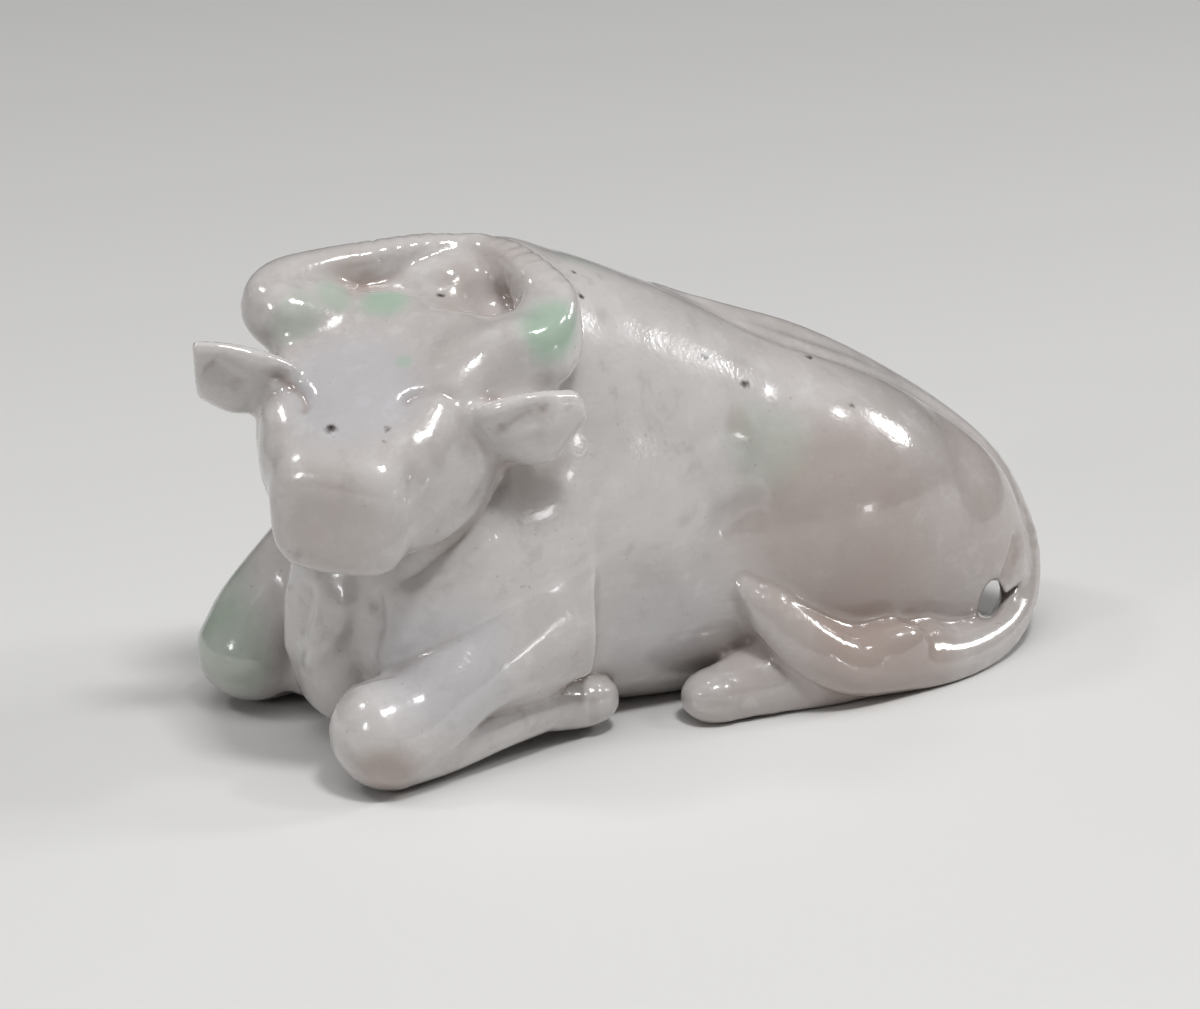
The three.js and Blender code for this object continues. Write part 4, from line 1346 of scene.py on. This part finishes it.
    def material(self, shift: Array) -> bpy.types.Material:
        """Makes the jade's material, for places moved by the shift."""
        material = bpy.data.materials.new("jade")
        material.use_nodes = True
        nodes = Nodes(material.node_tree)
        place = nodes.add("ShaderNodeTexCoord")["Object"]
        made = {
            "Base Color": self.colour(nodes, place, shift),
            "Roughness": nodes.ramp(nodes.noise(place, self.smear), *self.roughness),
            "Normal": self.bump(nodes, place),
        }
        shader = material.node_tree.nodes["Principled BSDF"]
        for name, value in (*made.items(), *self.gloss):
            nodes.feed(shader.inputs[name], value)
        return material


@dataclass(frozen=True)
class Mark:
    """A line worked into the surface: a groove, or a ridge where the depth is below 0."""

    name: str
    points: tuple[Vec, ...]
    width: float
    depth: float

    def press(self, form: Form, points: Array, normals: Array) -> Array:
        """How far each vertex is pushed in by the mark.

        Args:
            form: The form that the line is laid on.
            points: The mesh's vertices.
            normals: Their normals.

        Returns:
            The depth of the mark at each vertex.
        """
        line = form.settle(smooth_rows(self.points, MARK_SAMPLES), MARK_ROUNDS)
        facing = unit(form.slope(line))
        near = inside_box(points, line, MARK_ROOM * self.width)
        gaps = np.linalg.norm(points[near][:, None] - line[None], axis=2)
        closest = gaps.argmin(1)
        agree = np.clip((normals[near] * facing[closest]).sum(1) * MARK_FACING, 0, 1)
        share = np.exp(-((gaps.min(1) / self.width) ** 2)) * agree
        run = closest / (MARK_SAMPLES - 1)
        share *= np.clip(np.minimum(run, 1 - run) * END_FADE, END_LEAST, 1)
        depth = np.zeros(len(points))
        depth[near] = self.depth * share
        return depth


MARKS = (
    Mark("left ear fold", ((-35.6, -23, 44.2), (-33.3, -25.4, 46.8), (-30.6, -26.7, 48.5),
                           (-27.3, -26.9, 48.8)), 1.4, 1.0),
    Mark("right ear bowl", ((-61.9, -2.2, 52.7), (-60, -2.9, 51.4), (-57.5, -3.8, 49)), 2.0, 0.8),
    Mark("left eyelid", ((-43.6, -17.1, 48.3), (-41.9, -16.9, 49.5), (-39.8, -17.6, 50.2),
                         (-38.1, -18.8, 49.9), (-37, -20, 48.6)), 0.85, 0.55),
    Mark("right eyelid", ((-55.7, -6.1, 51.3), (-53.7, -6.9, 50.6), (-52.3, -8, 49.3),
                          (-52.4, -9.6, 47.9), (-53.6, -9.8, 46.9)), 0.85, 0.75),
    Mark("muzzle edge", ((-43.9, -21.4, 43.4), (-46.2, -23.5, 40.7), (-47.9, -24.8, 37.7),
                         (-48.3, -24.5, 34.5),
                         (-48.6, -23.6, 32)), 1.0, 0.5),
    Mark("lip notch", ((-58, -16.5, 32.4), (-58, -16.5, 31.6), (-57.6, -16.4, 31)), 0.7, 0.5),
    Mark("throat fold", ((-29.4, -17.8, 38.5), (-32.3, -18.8, 35.3), (-35.7, -19, 31.8),
                         (-40.6, -16.8, 27.5), (-42.5, -14.5, 25)), 0.9, 0.6),
    Mark("throat ridge", ((-32.6, -19.4, 32), (-35.2, -19.2, 29.2), (-39.4, -17.4, 25.6)), 1.5, -0.4),
    Mark("dewlap ridge", ((-45.5, -5.9, 23.3), (-45.9, -6.4, 19.5), (-46.8, -5.8, 16.7),
                          (-48.3, -3.6, 13.4), (-48.6, -0.1, 10.3)), 1.3, -0.7),
    Mark("dewlap groove left", ((-43.8, -9.5, 23), (-43.9, -11.3, 19.7), (-44, -9.8, 15.3)), 1.4, 0.7),
    Mark("dewlap groove right", ((-48, -1.5, 22.5), (-48.5, -1.5, 18.5), (-49, 0.6, 14.5)), 1.3, 0.7),
    Mark("dewlap ridge right", ((-48, 3, 21), (-48.5, 3.5, 16), (-48, 4.5, 10)), 1.3, -0.5),
    Mark("forearm crease", ((-50.5, -10.5, 10.5), (-49.6, -13.3, 12.4), (-43.3, -15.7, 15.2),
                            (-39.5, -18.9, 18.2), (-34, -20.5, 20.5)), 1.4, 0.5),
    Mark("spine groove", ((2, -0.5, 50.9), (7.1, -1.1, 49.4), (11.4, -4, 46.6), (16.8, -6, 43.9),
                          (23, -7.2, 41.1), (31, -6.8, 36), (38, -6.2, 31.2), (44, -6.6, 26.4),
                          (47.6, -8, 21), (48.8, -11, 15.5), (47.5, -13.2, 11.5)), 1.2, 0.6),
    Mark("tail hollow", ((44.2, -16.6, 8.4), (44.6, -16.8, 10), (45.4, -16.5, 11.4),
                         (46.6, -15.8, 13.4), (47.6, -14.6, 16)), 1.7, 1.0),
    Mark("left fore pastern", ((-17.2, -14, 7.4), (-17.2, -15.9, 6.5), (-17.3, -16.7, 4.4),
                               (-17, -15.6, 1.3)), 0.6, 0.4),
    Mark("left hind pastern", ((0.6, -19.5, 6.4), (0.9, -21.2, 5), (1.7, -21.6, 3), (1.9, -20.3, 0.2)),
         0.6, 0.35),
    Mark("left hind cleft", ((-4, -18.6, 3.6), (-1.8, -20.9, 3.4), (0.7, -21.5, 2.7)), 0.5, 0.3),
    Mark("flank fold", ((0.4, -17, 24.6), (1.6, -17.3, 25.5), (4.2, -17.7, 26.9), (7.4, -18.6, 27.6)),
         2.0, 0.45),
    Mark("flank ridge", ((0.2, -17, 28.6), (2.4, -17.3, 29.5), (4.8, -17.7, 30.8), (7.4, -18.5, 31.6)),
         2.2, -0.35),
)


def fade(values: Array, start: float, end: float) -> Array:
    """Eases from 0 at the start to 1 at the end."""
    t = np.clip((values - start) / (end - start), 0, 1)
    return t * t * (3 - 2 * t)


@dataclass(frozen=True)
class Groove:
    """A set of fine parallel grooves: their name, pitch, depth, and width as a share of the pitch."""

    name: str
    pitch: float
    depth: float
    width: float


@dataclass(frozen=True)
class Lines:
    """Where a set of grooves lies on a mesh.

    The run tells how far across the grooves a vertex lies, and the share how much of their depth
    it gets. Both are stored on the mesh under the name of the grooves.
    """

    groove: Groove
    run: Array
    share: Array


@dataclass(frozen=True)
class Relief:
    """The fine grooves of the animal, with the places where they ease in and out."""

    rings: Groove = Groove("horn_rings", 1.9, 0.14, 0.34)
    ringed: tuple[tuple[float, float], ...] = ((16.0, 32.0), (11.0, 27.0))
    ring_height: tuple[float, float] = (0.7, 0.2)
    ring_ends: tuple[float, float] = (4.0, 2.0)
    creases: Groove = Groove("nape_creases", 1.7, 0.045, 0.3)
    crease_centre: tuple[float, float] = (-28.5, -12.0)
    nape: Vec = (-30.0, -1.2, 58.5)
    nape_size: Vec = (7.5, 6.0, 5.0)
    nape_edge: tuple[float, float] = (1.0, 0.55)
    hairs: Groove = Groove("tuft_hairs", 1.25, 0.1, 0.4)
    hair_height: tuple[float, float] = (0.6, 0.1)
    hair_start: tuple[float, float] = (34.0, 24.0)
    hair_end: float = 5.0
    tuft_radius: float = 3.4

    def horn_rings(self, form: Form, points: Array) -> Lines:
        """Growth rings that cross the outer part of both horns."""
        run, share = np.zeros(len(points)), np.zeros(len(points))
        rise, fall = self.ring_ends
        for horn, (first, last) in zip((form.horns.right, form.horns.left), self.ringed):
            distance, along, _ = horn.mass().place(points)
            mine = fade(distance, *self.ring_height) * fade(along, first, first + rise)
            mine *= fade(along, last, last - fall)
            run = np.where(mine > share, along, run)
            share = np.maximum(share, mine)
        return Lines(self.rings, run, share)

    def nape_creases(self, points: Array) -> Lines:
        """Curved creases over the mound between the horns."""
        run = np.linalg.norm(points[:, :2] - self.crease_centre, axis=1)
        away = np.linalg.norm((points - self.nape) / self.nape_size, axis=1)
        return Lines(self.creases, run, fade(away, *self.nape_edge))

    def tuft_hairs(self, form: Form, points: Array) -> Lines:
        """Strands that run along the tuft of the tail."""
        band = form.tail.band.mass()
        distance, along, turn = band.place(points)
        left = band.run[-1] - along
        share = fade(distance, *self.hair_height) * fade(left, *self.hair_start)
        return Lines(self.hairs, turn * self.tuft_radius, share * fade(left, 0, self.hair_end))

    def lines(self, form: Form, points: Array) -> list[Lines]:
        """All sets, in the order in which they are cut."""
        return [self.horn_rings(form, points), self.nape_creases(points), self.tuft_hairs(form, points)]


class LineCutter:
    """A node tree that cuts parallel grooves, used once for each set of them.

    The scale and share belong to the noise that makes the grooves uneven in depth.
    """

    seed: float = 7.0
    uneven_scale: float = 350.0
    uneven_share: tuple[float, ...] = (0.3, 0.65, 0.35, 1.2)

    def __init__(self) -> None:
        """Builds the tree."""
        self.tree = bpy.data.node_groups.new("carved lines", "GeometryNodeTree")
        self.sockets: dict[str, str] = {}
        nodes = Nodes(self.tree)
        kinds = {"Run": "String", "Share": "String", "Geometry": "Geometry", "Material": "Material"}
        for name in ("Geometry", "Run", "Share", "Pitch", "Depth", "Width", "Seed", "Material"):
            kind = "NodeSocket" + kinds.get(name, "Float")
            socket = self.tree.interface.new_socket(name=name, in_out="INPUT", socket_type=kind)
            self.sockets[name] = socket.identifier
        self.tree.interface.new_socket(name="Geometry", in_out="OUTPUT", socket_type="NodeSocketGeometry")
        given = nodes.add("NodeGroupInput")

        run, share = (
            nodes.add("GeometryNodeInputNamedAttribute", {"Name": given[name]}, data_type="FLOAT")[0]
            for name in ("Run", "Share")
        )
        turns = nodes.maths("FRACT", nodes.maths("DIVIDE", run, given["Pitch"]))
        gap = nodes.maths("SUBTRACT", 0.5, nodes.maths("ABSOLUTE", nodes.maths("SUBTRACT", turns, 0.5)))
        profile = nodes.maths("MULTIPLY", nodes.ramp(gap, 0, given["Width"], 1, 0), share)
        seeded = {"W": given["Seed"], "Scale": self.uneven_scale}
        uneven = nodes.add("ShaderNodeTexNoise", seeded, noise_dimensions="4D")[0]
        deep = nodes.maths("MULTIPLY", profile, nodes.ramp(uneven, *self.uneven_share))
        push = nodes.maths("MULTIPLY", deep, nodes.maths("MULTIPLY", given["Depth"], -1))
        normal = nodes.add("GeometryNodeInputNormal")[0]
        offset = nodes.add("ShaderNodeVectorMath", {0: normal, "Scale": push}, operation="SCALE")[0]
        moved = nodes.add("GeometryNodeSetPosition", {"Geometry": given["Geometry"], "Offset": offset})[0]
        solid = nodes.add("GeometryNodeRealizeInstances", {"Geometry": moved})[0]
        dress = {"Geometry": solid, "Material": given["Material"]}
        nodes.add("NodeGroupOutput", {"Geometry": nodes.add("GeometryNodeSetMaterial", dress)[0]})

    def cut(self, piece: bpy.types.Object, all_lines: list[Lines], material: bpy.types.Material) -> None:
        """Cuts every set of grooves into a piece, and leaves a plain mesh.

        Args:
            piece: The object to work on.
            all_lines: The sets of grooves, with a run and a share for each vertex.
            material: The finish of the whole piece.
        """
        for lines in all_lines:
            groove = lines.groove
            names = (f"{groove.name}_run", f"{groove.name}_share")
            for name, values in zip(names, (lines.run * MM, lines.share)):
                attribute = piece.data.attributes.new(name, "FLOAT", "POINT")
                attribute.data.foreach_set("value", values.astype(np.float32))
            modifier = piece.modifiers.new(groove.name, "NODES")
            modifier.node_group = self.tree
            for name, value in (
                ("Run", names[0]), ("Share", names[1]), ("Pitch", groove.pitch * MM),
                ("Depth", groove.depth * MM), ("Width", groove.width), ("Seed", self.seed),
                ("Material", material),
            ):
                modifier[self.sockets[name]] = value
        depsgraph = bpy.context.evaluated_depsgraph_get()
        mesh = bpy.data.meshes.new_from_object(piece.evaluated_get(depsgraph))
        piece.modifiers.clear()
        piece.data = mesh
        LOG.info("%s: %d sets of grooves", piece.name, len(all_lines))


class Figure:
    """The finished animal: traced, settled on its surface, and dressed."""

    def __init__(self, form: Form, net: SurfaceNet, jade: Jade) -> None:
        """Keeps the form, the tracer and the finish."""
        self.form, self.net, self.jade = form, net, jade
        self.shift = np.zeros(3)

    def hollows(self, points: Array, faces: Array, normals: Array) -> Array:
        """How hollow the surface is at each vertex: above 0 in a hollow, below 0 on a ridge."""
        count = len(points)
        a, b = faces.ravel(), np.roll(faces, -1, axis=1).ravel()
        ends, others = np.append(a, b), np.append(b, a)
        degree = np.maximum(np.bincount(ends, minlength=count), 1)

        def around(values: Array) -> Array:
            """The average of a value over the neighbours of each vertex."""
            return np.bincount(ends, values[others], count) / degree

        away = np.stack([around(axis) for axis in points.T], 1) - points
        length = np.bincount(ends, np.linalg.norm(points[others] - points[ends], axis=1), count)
        hollow = (away * normals).sum(1) / np.maximum(length / degree, LEAST_EDGE) ** 2 * 2
        for _ in range(HOLLOW_SMOOTHING):
            hollow = (hollow + around(hollow)) / 2
        return hollow

    def mesh(self, points: Array, faces: Array, hollow: Array) -> bpy.types.Mesh:
        """The mesh in the CAD frame, in metres, with the hollows stored on it."""
        mesh = bpy.data.meshes.new("jade_buffalo")
        mesh.vertices.add(len(points))
        mesh.vertices.foreach_set("co", ((points + self.shift) * MM).ravel())
        mesh.loops.add(faces.size)
        mesh.loops.foreach_set("vertex_index", faces.ravel())
        mesh.polygons.add(len(faces))
        mesh.polygons.foreach_set("loop_start", np.arange(0, faces.size, 4))
        mesh.update(calc_edges=True)
        mesh.validate()
        mesh.shade_smooth()
        attribute = mesh.attributes.new("hollow", "FLOAT", "POINT")
        attribute.data.foreach_set("value", hollow.astype(np.float32))
        return mesh

    def build(self) -> bpy.types.Object:
        """Traces the surface and makes the piece."""
        points, faces = self.net.trace(self.form)
        points = self.form.settle(points, SETTLE_ROUNDS)
        normals = unit(self.form.slope(points))
        for mark in MARKS:
            points = points - normals * mark.press(self.form, points, normals)[:, None]
        low, high = (np.array(v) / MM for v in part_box(NODE))
        self.shift = (low + high) / 2 - (points.min(0) + points.max(0)) / 2
        self.shift[2] = 0
        mesh = self.mesh(points, faces, self.hollows(points, faces, normals))
        material = self.jade.material(self.shift)
        mesh.materials.append(material)
        piece = placed("jade_buffalo", mesh)
        LineCutter().cut(piece, Relief().lines(self.form, points), material)
        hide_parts(NODE)
        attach(piece, "root")
        LOG.info("%s: %d triangles", piece.name, 2 * len(piece.data.polygons))
        return piece


def main() -> None:
    """Builds the figure, then the studio round it."""
    logging.basicConfig(level=logging.INFO, format="%(name)s %(message)s")
    bpy.context.scene.view_settings.view_transform = "Standard"
    figure = Figure(Form(), SurfaceNet(), Jade())
    figure.build()
    studio = Studio()
    studio.floor()
    studio.lights()
    studio.camera(figure.shift)


if __name__ == "__main__":
    main()
